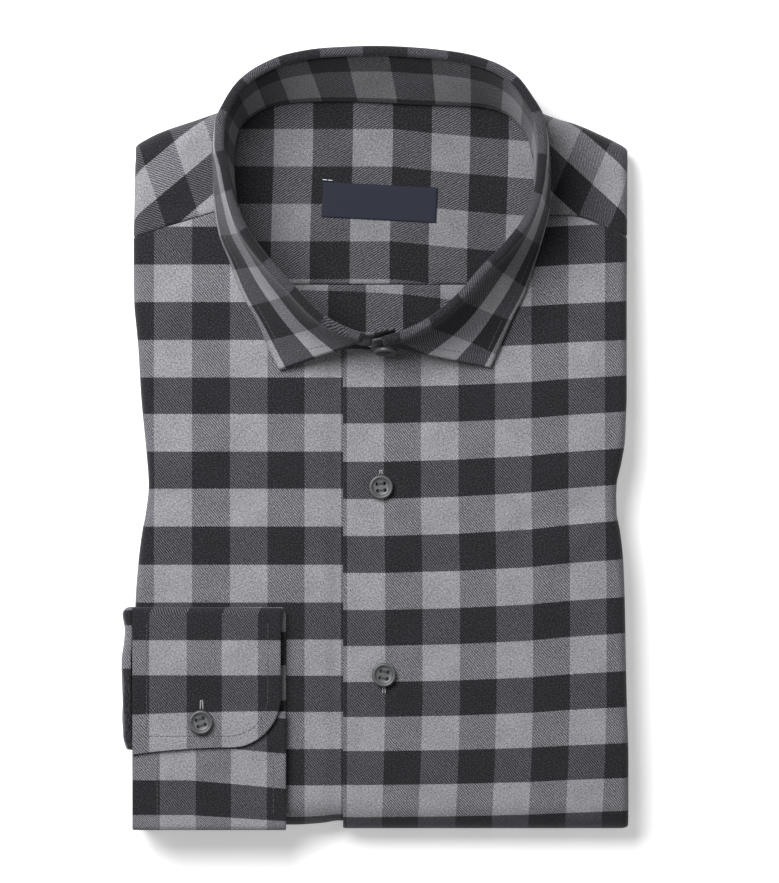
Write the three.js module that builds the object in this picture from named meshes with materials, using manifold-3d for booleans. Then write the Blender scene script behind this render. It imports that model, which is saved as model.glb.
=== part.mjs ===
// A long-sleeved gingham flannel shirt, folded flat with its collar standing.
// Millimetres. +Z is up, +Y runs from the tail to the collar, and +X is to the
// right of someone looking down on the front. The origin is the bottom centre.
// The stack rests on z = 0: the fronts lie on top, turn under at the bottom
// edge and end as a tail underneath. The yoke turns under at the shoulders.

import * as THREE from 'three';
import * as BufferGeometryUtils from 'three/addons/utils/BufferGeometryUtils.js';
import Module from 'manifold-3d';

const wasm = await Module();
wasm.setup();

// Driving dimensions of the cloth and its folds.
const WALL = 1.6;
const SEAM_GAP = 0.35;
const BOTTOM_EDGE = -183.3;
const STACK_HEIGHT = 24;
const NOSE_LEVEL = 0.59;
const NOSE_DEPTH = 3.5;
const NOSE_STEPS = 5;
const LIP_LENGTH = 9;
const TAIL_HEM = 20;
const YOKE_HEM_UNDER = 108;

// The placket: the wearer's left front lies over the right one.
const PLACKET_EDGE = -15.3;
const UNDER_FRONT_END = -4;
const PLACKET_DIP = WALL + SEAM_GAP;
const UNDER_FRONT_RAISE = 1.7;

// The yoke seam inside the neck.
const INNER_SEAM = 73;
const BACK_HIDDEN_END = 26;
const DISH_LEFT = -67;
const DISH_RIGHT = 76;

// The neck label.
const LABEL_WIDTH = 54;
const LABEL_DEPTH = 16.6;
const LABEL_WALL = 0.8;
const LABEL_CENTRE = { x: 1.9, y: 111.4 };
const LABEL_TURN = THREE.MathUtils.degToRad(-3);

// The shirt buttons.
const BUTTON_RADIUS = 5.7;
const BUTTON_HEIGHT = 2.6;
const BUTTON_HOLE_RADIUS = 0.85;
const BUTTON_HOLE_SPACING = 1.6;
const BUTTON_SEGMENTS = 16;

// Height of the stack up the front.
const HEIGHTS = [
  { y: -190, height: STACK_HEIGHT },
  { y: -60, height: STACK_HEIGHT },
  { y: 20, height: 24 },
  { y: 60, height: 23.2 },
  { y: 100, height: 20.8 },
  { y: 140, height: 17.6 },
  { y: 170, height: 16.4 },
];

// Side edges of the stack, with the soft waist seen in the outline.
const SIDES = [
  { y: -190, left: -114, right: 119 },
  { y: -146, left: -114, right: 119 },
  { y: -123, left: -114, right: 118.2 },
  { y: -76, left: -113, right: 117.3 },
  { y: -57, left: -111.6, right: 116.7 },
  { y: -43, left: -109.7, right: 115 },
  { y: -29, left: -106.9, right: 112.6 },
  { y: -19, left: -106.7, right: 113.8 },
  { y: -5, left: -107.9, right: 117.2 },
  { y: 18, left: -110.2, right: 118.2 },
  { y: 42, left: -111.6, right: 118.2 },
  { y: 65, left: -113.7, right: 118.2 },
  { y: 95, left: -113.9, right: 118.4 },
  { y: 138, left: -113, right: 118.7 },
];

// Top edge of the stack, where the yoke turns under.
const SHOULDERS = [
  { x: -114, y: 138 },
  { x: -101, y: 144.8 },
  { x: -84, y: 150.4 },
  { x: -70, y: 155.3 },
  { x: -66, y: 158.5 },
  { x: -60, y: 162.5 },
  { x: -50, y: 166 },
  { x: -36, y: 168.5 },
  { x: -20, y: 169.8 },
  { x: 5, y: 170.5 },
  { x: 35, y: 169.5 },
  { x: 49, y: 167.5 },
  { x: 57, y: 166 },
  { x: 64, y: 163.5 },
  { x: 72, y: 158.5 },
  { x: 78, y: 153.6 },
  { x: 87, y: 150.4 },
  { x: 97.5, y: 147.4 },
  { x: 108, y: 142.4 },
  { x: 119, y: 136.8 },
];

// Upper edges of the two fronts: the yoke seam, then the neckline.
const RIGHT_FRONT_TOP = [
  { x: -114, y: 95.4 },
  { x: -90, y: 102.5 },
  { x: -75, y: 107 },
  { x: -64.5, y: 109.5 },
  { x: -62, y: 98 },
  { x: -56.5, y: 86 },
  { x: -48.5, y: 75 },
  { x: -38.5, y: 64 },
  { x: -25, y: 53.5 },
  { x: -11.5, y: 46.2 },
  { x: UNDER_FRONT_END, y: 44.4 },
];
const LEFT_FRONT_TOP = [
  { x: PLACKET_EDGE, y: 47.6 },
  { x: -5, y: 44 },
  { x: 4, y: 42.6 },
  { x: 15, y: 44.6 },
  { x: 27, y: 51 },
  { x: 38, y: 61.5 },
  { x: 49.5, y: 74 },
  { x: 60, y: 86 },
  { x: 67.5, y: 96.5 },
  { x: 72, y: 105 },
  { x: 82, y: 105.3 },
  { x: 93.8, y: 104.8 },
  { x: 105.5, y: 101 },
  { x: 119, y: 95.4 },
];

// Sections of the collar, from its left end round the back to its right end.
// base is the neck seam, fold the inner edge of the roll, hem the leaf's edge.
const COLLAR = [
  { baseX: -5, baseY: 44.6, foldX: -5, foldY: 49.6, foldZ: 49.5, hemX: -45.4, hemY: 32, hemZ: 26.2 },
  { baseX: -11.5, baseY: 46.2, foldX: -11, foldY: 51.4, foldZ: 50.5, hemX: -49.6, hemY: 40.9, hemZ: 26.2 },
  { baseX: -25, baseY: 53.5, foldX: -24.2, foldY: 58.3, foldZ: 52, hemX: -55.2, hemY: 53.6, hemZ: 25.9 },
  { baseX: -38.5, baseY: 64, foldX: -38.8, foldY: 72.9, foldZ: 54, hemX: -62.3, hemY: 66.7, hemZ: 25.3 },
  { baseX: -48.5, baseY: 75, foldX: -50.5, foldY: 86, foldZ: 55.5, hemX: -68.9, hemY: 83.2, hemZ: 24.4 },
  { baseX: -56.5, baseY: 86, foldX: -59.9, foldY: 99.2, foldZ: 56.5, hemX: -74, hemY: 96.4, hemZ: 23.5 },
  { baseX: -62, baseY: 98, foldX: -65.6, foldY: 112.3, foldZ: 57, hemX: -76.1, hemY: 110, hemZ: 22.5 },
  { baseX: -65, baseY: 113, foldX: -68.9, foldY: 126.4, foldZ: 57, hemX: -76.8, hemY: 124.1, hemZ: 21.3 },
  { baseX: -66, baseY: 126, foldX: -70.7, foldY: 138.2, foldZ: 56, hemX: -77, hemY: 135.8, hemZ: 20.3 },
  { baseX: -65.5, baseY: 137, foldX: -70.3, foldY: 147.6, foldZ: 54.5, hemX: -76, hemY: 147, hemZ: 19.6 },
  { baseX: -63.5, baseY: 145, foldX: -67.4, foldY: 154.6, foldZ: 53, hemX: -72.6, hemY: 156.4, hemZ: 16.5 },
  { baseX: -58, baseY: 151.5, foldX: -61.3, foldY: 164, foldZ: 51, hemX: -65.1, hemY: 165.2, hemZ: 9 },
  { baseX: -49, baseY: 156, foldX: -52.4, foldY: 170.8, foldZ: 49.5, hemX: -55.2, hemY: 173, hemZ: 6 },
  { baseX: -36, baseY: 158, foldX: -40.2, foldY: 175.8, foldZ: 48, hemX: -42.1, hemY: 178.8, hemZ: 5 },
  { baseX: -19, baseY: 158.5, foldX: -21.4, foldY: 178.8, foldZ: 47, hemX: -21.9, hemY: 182.6, hemZ: 4.5 },
  { baseX: 0, baseY: 158, foldX: -0.2, foldY: 179.6, foldZ: 46.5, hemX: -0.2, hemY: 183.4, hemZ: 4.2 },
  { baseX: 20, baseY: 157, foldX: 20.9, foldY: 178.6, foldZ: 46.5, hemX: 21.9, hemY: 182.4, hemZ: 4.5 },
  { baseX: 35, baseY: 156.5, foldX: 37.4, foldY: 176.8, foldZ: 47.5, hemX: 38.8, hemY: 180.4, hemZ: 5 },
  { baseX: 49, baseY: 156, foldX: 52.9, foldY: 172.6, foldZ: 49, hemX: 54.8, hemY: 175.8, hemZ: 6 },
  { baseX: 60, baseY: 153, foldX: 63.2, foldY: 166.4, foldZ: 50.5, hemX: 66.6, hemY: 168.6, hemZ: 9 },
  { baseX: 67.5, baseY: 147, foldX: 69.8, foldY: 157.5, foldZ: 52.5, hemX: 74.6, hemY: 159, hemZ: 15 },
  { baseX: 72, baseY: 139.5, foldX: 74, foldY: 149.9, foldZ: 54, hemX: 79.4, hemY: 151, hemZ: 19.6 },
  { baseX: 74.5, baseY: 128, foldX: 75.9, foldY: 138.2, foldZ: 56, hemX: 82, hemY: 136.3, hemZ: 20.3 },
  { baseX: 74.5, baseY: 117, foldX: 75.4, foldY: 125.5, foldZ: 57, hemX: 82.6, hemY: 122.7, hemZ: 21.3 },
  { baseX: 72, baseY: 106.5, foldX: 73.6, foldY: 114.7, foldZ: 57, hemX: 82.5, hemY: 110.9, hemZ: 22.5 },
  { baseX: 67.5, baseY: 96.5, foldX: 69.3, foldY: 103.9, foldZ: 56.5, hemX: 80.1, hemY: 98.7, hemZ: 23.5 },
  { baseX: 60, baseY: 86, foldX: 60.9, foldY: 92.6, foldZ: 55.5, hemX: 75.9, hemY: 84.1, hemZ: 24.4 },
  { baseX: 49.5, baseY: 74, foldX: 49.1, foldY: 80.4, foldZ: 54.5, hemX: 69.8, hemY: 67.2, hemZ: 25.3 },
  { baseX: 38, baseY: 61.5, foldX: 37.4, foldY: 67.2, foldZ: 53, hemX: 65.1, hemY: 57.8, hemZ: 25.8 },
  { baseX: 27, baseY: 51, foldX: 25.6, foldY: 57.4, foldZ: 52, hemX: 61.8, hemY: 50.3, hemZ: 26 },
  { baseX: 15, baseY: 44.6, foldX: 13.9, foldY: 51.4, foldZ: 50.5, hemX: 58.1, hemY: 41.8, hemZ: 26.2 },
  { baseX: 4, baseY: 42.6, foldX: 2.6, foldY: 47.8, foldZ: 49.5, hemX: 54.3, hemY: 33.4, hemZ: 26.2 },
];
// The stand runs on past the leaf at both ends, the right one outside the left.
const STAND_UNDER_END = [
  { baseX: 9, baseY: 47, foldX: 9, foldY: 52.8, foldZ: 49.5 },
  { baseX: 2, baseY: 45.4, foldX: 2, foldY: 50.6, foldZ: 49.5 },
];
const STAND_OVER_END = [
  { baseX: -2.2, baseY: 42.2, foldX: -1.6, foldY: 47, foldZ: 49.5 },
];
const ROLL_RADIUS = 2.35;
const ROLL_LIMB = 3.2;

// The sleeve's edge, as it bulges past the left side of the stack.
const SLEEVE_BULGE = [
  { y: -79, x: -117.2 },
  { y: -82, x: -119 },
  { y: -90, x: -117.9 },
  { y: -95, x: -118.2 },
  { y: -104, x: -119.5 },
  { y: -118, x: -119.1 },
  { y: -139, x: -118.8 },
  { y: -146, x: -117 },
];

// The flattened cuff: its top layer ends in a round corner over the lower one.
const CUFF = {
  left: -114.2,
  rightTop: -44.4,
  rightUnder: -42,
  topFold: -79,
  bottomFold: -183.8,
  topEnd: -145,
  innerEnd: -128,
  cornerRadius: 24,
  floor: 24.4,
  middle: 29,
  top: 31,
};

// Linear and smooth steps, and tables read by their key column.
function smoothStep(low, high, value) {
  return THREE.MathUtils.smoothstep(value, low, high);
}

function readTable(table, key, column, value) {
  const last = table.length - 1;
  const clamped = THREE.MathUtils.clamp(value, table[0][key], table[last][key]);
  let row = 0;
  while (row < last - 1 && table[row + 1][key] < clamped) {
    row += 1;
  }
  const low = table[row];
  const high = table[row + 1];
  const share = (clamped - low[key]) / (high[key] - low[key]);
  return THREE.MathUtils.lerp(low[column], high[column], share);
}

const stackHeight = (y) => readTable(HEIGHTS, 'y', 'height', y);
const shoulderLine = (x) => readTable(SHOULDERS, 'x', 'y', x);
const sideEdge = (y, side) => readTable(SIDES, 'y', side, y);

// Where the stack starts to turn over, at the bottom edge and at the shoulders.
const BOTTOM_TURN = BOTTOM_EDGE + STACK_HEIGHT / 2;

function shoulderTurn(x) {
  const edge = shoulderLine(x);
  const height = stackHeight(edge);
  return { y: edge - height / 2, height };
}

// A point of the stack: x across, reach up the front, level from 0 to 1 through
// the height. Below the bottom edge, and past the shoulders, it turns under.
function belowBottom(x, past, level, turnY) {
  const radius = (level - 0.5) * STACK_HEIGHT;
  const halfTurn = Math.PI * STACK_HEIGHT / 2;
  if (past < halfTurn) {
    const angle = 2 * past / STACK_HEIGHT;
    return new THREE.Vector3(
      x,
      turnY - radius * Math.sin(angle),
      STACK_HEIGHT / 2 + radius * Math.cos(angle),
    );
  }
  return new THREE.Vector3(x, turnY + past - halfTurn, STACK_HEIGHT / 2 - radius);
}

function pastShoulder(x, past, level) {
  const turn = shoulderTurn(x);
  const radius = (level - 0.5) * turn.height;
  const halfTurn = Math.PI * turn.height / 2;
  if (past < halfTurn) {
    const angle = 2 * past / turn.height;
    return new THREE.Vector3(
      x,
      turn.y + radius * Math.sin(angle),
      turn.height / 2 + radius * Math.cos(angle),
    );
  }
  return new THREE.Vector3(x, turn.y - past + halfTurn, turn.height / 2 - radius);
}

function onTop(x, y, level) {
  return new THREE.Vector3(x, y, stackHeight(y) * level);
}

// Columns across a panel. A flat column has a place x and a level; a column of
// the rounded side edge is measured in from that edge.
function flatColumns(places) {
  return places.map((x) => ({ x, level: 1 }));
}

function noseColumns(side) {
  const columns = [{ side, inset: NOSE_DEPTH + 6, level: 1 }];
  for (let step = 0; step <= NOSE_STEPS; step += 1) {
    const angle = Math.PI * step / NOSE_STEPS;
    columns.push({
      side,
      inset: NOSE_DEPTH * (1 - Math.sin(angle)),
      level: 1 - (1 - NOSE_LEVEL) * (1 - Math.cos(angle)) / 2,
    });
  }
  columns.push({ side, inset: NOSE_DEPTH + LIP_LENGTH, level: NOSE_LEVEL });
  return columns;
}

function columnX(column, y) {
  if (column.side === undefined) {
    return column.x;
  }
  const inward = column.side === 'left' ? 1 : -1;
  return sideEdge(y, column.side) + inward * column.inset;
}

// A sheet of cloth from a grid of points: a wall set back from them, its rims
// closed. side is 1 where the wall lies against the grid's own normal.
function gridNormals(grid) {
  const rows = grid.length;
  const width = grid[0].length;
  const along = new THREE.Vector3();
  const across = new THREE.Vector3();
  return grid.map((row, i) => row.map((point, j) => {
    const ahead = grid[Math.min(i + 1, rows - 1)][j];
    const behind = grid[Math.max(i - 1, 0)][j];
    along.subVectors(ahead, behind).normalize();
    across.subVectors(row[Math.min(j + 1, width - 1)], row[Math.max(j - 1, 0)]).normalize();
    return new THREE.Vector3().crossVectors(along, across).normalize();
  }));
}

function sheetSolid(grid, wall, side) {
  const rows = grid.length;
  const width = grid[0].length;
  const normals = gridNormals(grid);
  const positions = [];
  grid.flat().forEach((point) => positions.push(point.x, point.y, point.z));
  grid.forEach((row, i) => row.forEach((point, j) => {
    const inner = point.clone().addScaledVector(normals[i][j], -side * wall);
    positions.push(inner.x, inner.y, inner.z);
  }));
  const outer = (i, j) => i * width + j;
  const inner = (i, j) => rows * width + i * width + j;
  const faces = [];
  const quad = (a, b, c, d) => {
    if (side > 0) {
      faces.push(a, b, c, a, c, d);
    } else {
      faces.push(a, c, b, a, d, c);
    }
  };
  for (let i = 0; i < rows - 1; i += 1) {
    for (let j = 0; j < width - 1; j += 1) {
      quad(outer(i, j), outer(i + 1, j), outer(i + 1, j + 1), outer(i, j + 1));
      quad(inner(i, j), inner(i, j + 1), inner(i + 1, j + 1), inner(i + 1, j));
    }
  }
  for (let i = 0; i < rows - 1; i += 1) {
    quad(outer(i, 0), inner(i, 0), inner(i + 1, 0), outer(i + 1, 0));
    quad(outer(i, width - 1), outer(i + 1, width - 1), inner(i + 1, width - 1), inner(i, width - 1));
  }
  for (let j = 0; j < width - 1; j += 1) {
    quad(outer(0, j), outer(0, j + 1), inner(0, j + 1), inner(0, j));
    quad(outer(rows - 1, j), inner(rows - 1, j), inner(rows - 1, j + 1), outer(rows - 1, j + 1));
  }
  const geometry = new THREE.BufferGeometry();
  geometry.setAttribute('position', new THREE.Float32BufferAttribute(positions, 3));
  geometry.setIndex(faces);
  return geometry;
}

// A loft: closed sections with the same number of points, capped at both ends.
function loftSolid(sections) {
  const count = sections[0].length;
  const positions = sections.flat().flatMap((point) => [point.x, point.y, point.z]);
  const faces = [];
  for (let s = 0; s < sections.length - 1; s += 1) {
    for (let k = 0; k < count; k += 1) {
      const next = (k + 1) % count;
      const a = s * count + k;
      const b = s * count + next;
      const c = (s + 1) * count + next;
      const d = (s + 1) * count + k;
      faces.push(a, b, c, a, c, d);
    }
  }
  const capAt = (s, flip) => {
    const outline = sections[s].map((point) => new THREE.Vector2(point.x, point.z));
    THREE.ShapeUtils.triangulateShape(outline, []).forEach(([a, b, c]) => {
      const base = s * count;
      if (flip) {
        faces.push(base + a, base + c, base + b);
      } else {
        faces.push(base + a, base + b, base + c);
      }
    });
  };
  capAt(0, true);
  capAt(sections.length - 1, false);
  const geometry = new THREE.BufferGeometry();
  geometry.setAttribute('position', new THREE.Float32BufferAttribute(positions, 3));
  geometry.setIndex(faces);
  return geometry;
}

// Reaches up the front: the tail's hem underneath, the bottom turn, then the
// top, closer together where the outline is curved.
const TURN_STEPS = 7;
const TOP_SHARES = [0.06, 0.2, 0.34, 0.43, 0.5, 0.57, 0.68, 0.84, 1];

function frontGrid(columns, topTable, turnY, levelOf) {
  const grid = [];
  const underside = TAIL_HEM - BOTTOM_TURN;
  const halfTurn = Math.PI * STACK_HEIGHT / 2;
  [1, 0.5].forEach((share) => {
    const past = halfTurn + share * underside;
    const y = BOTTOM_TURN + share * underside;
    grid.push(columns.map((column) => {
      const x = columnX(column, y);
      return belowBottom(x, past, levelOf(column, x), turnY);
    }));
  });
  for (let step = TURN_STEPS; step >= 0; step -= 1) {
    const past = halfTurn * step / TURN_STEPS;
    grid.push(columns.map((column) => {
      const x = columnX(column, turnY);
      return belowBottom(x, past, levelOf(column, x), turnY);
    }));
  }
  TOP_SHARES.forEach((share) => {
    grid.push(columns.map((column) => {
      const guess = columnX(column, 95);
      const top = readTable(topTable, 'x', 'y', guess) - SEAM_GAP / 2;
      const y = THREE.MathUtils.lerp(turnY, top, share);
      const x = columnX(column, y);
      return onTop(x, y, levelOf(column, x));
    }));
  });
  return grid;
}

// The wearer's left front, on top, from the placket edge to the right side.
function frontLeft() {
  const places = LEFT_FRONT_TOP.slice(0, -2).map((row) => row.x);
  const columns = [...flatColumns(places), ...noseColumns('right')];
  const grid = frontGrid(columns, LEFT_FRONT_TOP, BOTTOM_TURN, (column) => column.level);
  return sheetSolid(grid, WALL, -1);
}

// The wearer's right front dips under the placket.
function placketDip(x) {
  return smoothStep(-32, PLACKET_EDGE - 1, x);
}

function frontRight() {
  const places = RIGHT_FRONT_TOP.slice(1).reverse().map((row) => row.x);
  places.splice(1, 1, PLACKET_EDGE + 3, PLACKET_EDGE - 2);
  const columns = [...flatColumns(places), ...noseColumns('left')];
  const levelOf = (column, x) => column.level - placketDip(x) * PLACKET_DIP / STACK_HEIGHT;
  const grid = frontGrid(columns, RIGHT_FRONT_TOP, BOTTOM_TURN + UNDER_FRONT_RAISE, levelOf);
  return sheetSolid(grid, WALL, 1);
}

// The outer yoke: from the shoulder seams and the back of the neck, over the
// top edge and down to its hidden end underneath. Columns start and turn at
// different places, because the neck is round.
const YOKE_COLUMNS = [
  { startX: -97, startY: 100.4, turnX: -97 },
  { startX: -85, startY: 104, turnX: -87 },
  { startX: -75, startY: 107, turnX: -80 },
  { startX: -67, startY: 109.2, turnX: -75 },
  { startX: -67.4, startY: 124, turnX: -71 },
  { startX: -66.8, startY: 137.5, turnX: -67 },
  { startX: -59, startY: 152.4, turnX: -59 },
  { startX: -36.4, startY: 158.8, turnX: -36 },
  { startX: -18, startY: 159.3, turnX: -17 },
  { startX: 2, startY: 158.8, turnX: 2 },
  { startX: 20, startY: 157.8, turnX: 20 },
  { startX: 36, startY: 157.3, turnX: 37 },
  { startX: 61, startY: 153.8, turnX: 61 },
  { startX: 73.2, startY: 140.5, turnX: 73 },
  { startX: 76, startY: 124, turnX: 77 },
  { startX: 74.6, startY: 109, turnX: 81 },
  { startX: 82, startY: 105.3, turnX: 86 },
  { startX: 93.8, startY: 104.8, turnX: 94 },
];

function yokeOuter() {
  const leftNose = noseColumns('left').reverse();
  const middle = YOKE_COLUMNS.map((row) => ({ ...row, level: 1 }));
  const columns = [...leftNose, ...middle, ...noseColumns('right')];
  const seamTable = (side) => (side === 'left' ? RIGHT_FRONT_TOP : LEFT_FRONT_TOP);
  const grid = [];
  [0, 0.5, 1].forEach((share) => {
    grid.push(columns.map((column) => {
      if (column.side === undefined) {
        const turn = shoulderTurn(column.turnX);
        const x = THREE.MathUtils.lerp(column.startX, column.turnX, share);
        const start = column.startY + SEAM_GAP / 2;
        return onTop(x, THREE.MathUtils.lerp(start, turn.y, share), column.level);
      }
      const seamX = columnX(column, 95);
      const start = readTable(seamTable(column.side), 'x', 'y', seamX) + SEAM_GAP / 2;
      const end = shoulderTurn(seamX).y;
      const y = THREE.MathUtils.lerp(start, end, share);
      return onTop(columnX(column, y), y, column.level);
    }));
  });
  const placeAt = (column) => (column.side === undefined ? column.turnX : columnX(column, 138));
  for (let step = 1; step <= TURN_STEPS; step += 1) {
    grid.push(columns.map((column) => {
      const x = placeAt(column);
      const past = Math.PI * shoulderTurn(x).height / 2 * step / TURN_STEPS;
      return pastShoulder(x, past, column.level);
    }));
  }
  [0.5, 1].forEach((share) => {
    grid.push(columns.map((column) => {
      const x = placeAt(column);
      const turn = shoulderTurn(x);
      const past = Math.PI * turn.height / 2 + share * (turn.y - YOKE_HEM_UNDER);
      return pastShoulder(x, past, column.level);
    }));
  });
  return sheetSolid(grid, WALL, -1);
}

// The hollow of the neck, where the inner yoke and the back show.
const DISH_FLOOR = [
  { y: 26, z: 19.4 },
  { y: 50, z: 17.8 },
  { y: 73, z: 16.2 },
  { y: 95, z: 14.8 },
  { y: 120, z: 14 },
  { y: 145, z: 13.8 },
  { y: 160, z: 14 },
];

function dishHeight(x, y) {
  const floor = readTable(DISH_FLOOR, 'y', 'z', y);
  const rim = stackHeight(y) - WALL - SEAM_GAP - 0.2;
  const middle = (DISH_LEFT + DISH_RIGHT) / 2;
  const half = (DISH_RIGHT - DISH_LEFT) / 2;
  const sides = smoothStep(0.62, 1, Math.abs(x - middle) / half);
  return THREE.MathUtils.lerp(floor, rim, sides);
}

// Back edge of the dish: just inside the neck seam.
function dishBack(x) {
  const rows = COLLAR.slice(8, 23).map((row) => ({ x: row.baseX, y: row.baseY }));
  rows.sort((a, b) => a.x - b.x);
  return readTable(rows, 'x', 'y', x) - 1.2;
}

const DISH_PLACES = [-66, -58, -50, -38, -28, -18, -3, 5, 25, 45, 57, 68, 75];

function dishSheet(startOf, endOf, shares) {
  const grid = shares.map((share) => DISH_PLACES.map((x) => {
    const y = THREE.MathUtils.lerp(startOf(x), endOf(x), share);
    return new THREE.Vector3(x, y, dishHeight(x, y));
  }));
  return sheetSolid(grid, WALL, -1);
}

function yokeInner() {
  return dishSheet(() => INNER_SEAM, dishBack, [0, 0.25, 0.5, 0.75, 1]);
}

function backPanel() {
  return dishSheet(() => BACK_HIDDEN_END, () => INNER_SEAM - SEAM_GAP, [0, 0.5, 1]);
}

// The label lies on the inner yoke, turned a little.
function neckLabel() {
  const columns = [-0.5, -0.25, 0, 0.25, 0.5];
  const rows = [-0.5, 0, 0.5];
  const grid = rows.map((v) => columns.map((u) => {
    const place = new THREE.Vector2(u * LABEL_WIDTH, v * LABEL_DEPTH);
    place.rotateAround(new THREE.Vector2(), LABEL_TURN);
    const x = LABEL_CENTRE.x + place.x;
    const y = LABEL_CENTRE.y + place.y;
    return new THREE.Vector3(x, y, dishHeight(x, y) + SEAM_GAP + LABEL_WALL);
  }));
  return sheetSolid(grid, LABEL_WALL, -1);
}

// The collar's leaf: up from the stand, over the roll and down to its hem.
const LEAF_STEPS = 6;
const ROLL_STEPS = 5;

function outwardAt(rows, index) {
  const ahead = rows[Math.min(index + 1, rows.length - 1)];
  const behind = rows[Math.max(index - 1, 0)];
  const run = new THREE.Vector2(ahead.foldX - behind.foldX, ahead.foldY - behind.foldY);
  return new THREE.Vector2(-run.y, run.x).normalize();
}

function leafSection(row, outward) {
  const points = [];
  const place = (out, z) => new THREE.Vector3(
    row.foldX + out * outward.x,
    row.foldY + out * outward.y,
    z,
  );
  points.push(place(0, row.foldZ - ROLL_LIMB));
  for (let step = 0; step <= ROLL_STEPS; step += 1) {
    const angle = Math.PI * step / ROLL_STEPS;
    const out = ROLL_RADIUS * (1 - Math.cos(angle));
    points.push(place(out, row.foldZ - ROLL_RADIUS * (1 - Math.sin(angle))));
  }
  const start = points[points.length - 1];
  const hem = new THREE.Vector3(row.hemX, row.hemY, row.hemZ);
  const drop = start.z - hem.z;
  const reach = new THREE.Vector3(hem.x - start.x, hem.y - start.y, 0);
  const bend = new THREE.Vector3(0, 0, -0.9 * drop);
  const landing = reach.clone().multiplyScalar(1.3).setZ(-0.7 * drop);
  for (let step = 1; step <= LEAF_STEPS; step += 1) {
    points.push(hermite(start, bend, hem, landing, step / LEAF_STEPS));
  }
  return points;
}

function hermite(start, startPull, end, endPull, t) {
  const t2 = t * t;
  const t3 = t2 * t;
  return new THREE.Vector3()
    .addScaledVector(start, 2 * t3 - 3 * t2 + 1)
    .addScaledVector(startPull, t3 - 2 * t2 + t)
    .addScaledVector(end, -2 * t3 + 3 * t2)
    .addScaledVector(endPull, t3 - t2);
}

function collarLeaf() {
  const grid = COLLAR.map((row, index) => leafSection(row, outwardAt(COLLAR, index)));
  return sheetSolid(grid, WALL, 1);
}

// The stand: from the neck seam up to the inner edge of the roll.
// Its wall lies outside its inner face, so where it leans its edges draw back.
function standSection(row, outward) {
  const run = new THREE.Vector2(row.foldX - row.baseX, row.foldY - row.baseY);
  const base = stackHeight(row.baseY) + SEAM_GAP;
  const top = row.foldZ - ROLL_LIMB - SEAM_GAP;
  const lean = WALL * run.dot(outward) / Math.hypot(run.length(), top - base);
  return [0, 0.33, 0.67, 1].map((share) => new THREE.Vector3(
    THREE.MathUtils.lerp(row.baseX, row.foldX, share),
    THREE.MathUtils.lerp(row.baseY, row.foldY, share),
    THREE.MathUtils.lerp(base + Math.max(lean, 0), top + Math.min(lean, 0), share),
  ));
}

function collarStand() {
  const rows = [...STAND_UNDER_END, ...COLLAR, ...STAND_OVER_END];
  const grid = rows.map((row, index) => standSection(row, outwardAt(rows, index)));
  return sheetSolid(grid, WALL, 1);
}

// The end of the sleeve, which comes up round the left side into the cuff.
const SLEEVE_SECTION = [
  { out: 0, z: 11.2 },
  { out: 0.55, z: 11.3 },
  { out: 0.92, z: 14 },
  { out: 1, z: 19 },
  { out: 0.97, z: 24 },
  { out: 0.9, z: 28.2 },
  { out: 0.74, z: 30.2 },
];
const SLEEVE_ROOT = -111.2;

function sleeveEnd() {
  const grid = SLEEVE_BULGE.map((row) => SLEEVE_SECTION.map((spot) => new THREE.Vector3(
    THREE.MathUtils.lerp(SLEEVE_ROOT, row.x, spot.out),
    row.y,
    spot.z,
  )));
  return sheetSolid(grid, WALL, 1);
}

// The cuff: a band wound flat, from its round-cornered end on top, round the
// upper fold, back along the front panel, round the lower fold and under.
const CUFF_SHARES = [0, 0.2, 0.4, 0.6, 0.8, 1];

function cuffPath() {
  const spots = [];
  const topRadius = (CUFF.top - CUFF.floor) / 2;
  const lowRadius = (CUFF.middle - CUFF.floor) / 2;
  [0, 0.04, 0.15, 0.35, 0.6, 1].forEach((share) => {
    const y = THREE.MathUtils.lerp(CUFF.topEnd, CUFF.topFold - topRadius, share);
    spots.push({ y, z: CUFF.top, right: cuffRight(y) });
  });
  for (let step = 1; step <= 6; step += 1) {
    const angle = Math.PI * step / 6;
    spots.push({
      y: CUFF.topFold - topRadius + topRadius * Math.sin(angle),
      z: CUFF.floor + topRadius * (1 + Math.cos(angle)),
      right: THREE.MathUtils.lerp(CUFF.rightTop, CUFF.rightUnder, step / 6),
    });
  }
  for (let step = 0; step <= 5; step += 1) {
    const angle = Math.PI * step / 5;
    spots.push({
      y: CUFF.bottomFold + lowRadius - lowRadius * Math.sin(angle),
      z: CUFF.floor + lowRadius * (1 - Math.cos(angle)),
      right: CUFF.rightUnder,
    });
  }
  spots.push({ y: CUFF.innerEnd, z: CUFF.middle, right: CUFF.rightUnder });
  return spots;
}

function cuffRight(y) {
  const into = Math.max(0, CUFF.cornerRadius - (y - CUFF.topEnd)) / CUFF.cornerRadius;
  const round = CUFF.cornerRadius * (1 - Math.sqrt(Math.max(0, 1 - into * into)));
  return CUFF.rightTop - round;
}

function cuffBand() {
  const grid = cuffPath().map((spot) => CUFF_SHARES.map((share) => new THREE.Vector3(
    THREE.MathUtils.lerp(CUFF.left, spot.right, share),
    spot.y,
    spot.z,
  )));
  return sheetSolid(grid, WALL, -1);
}

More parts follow.
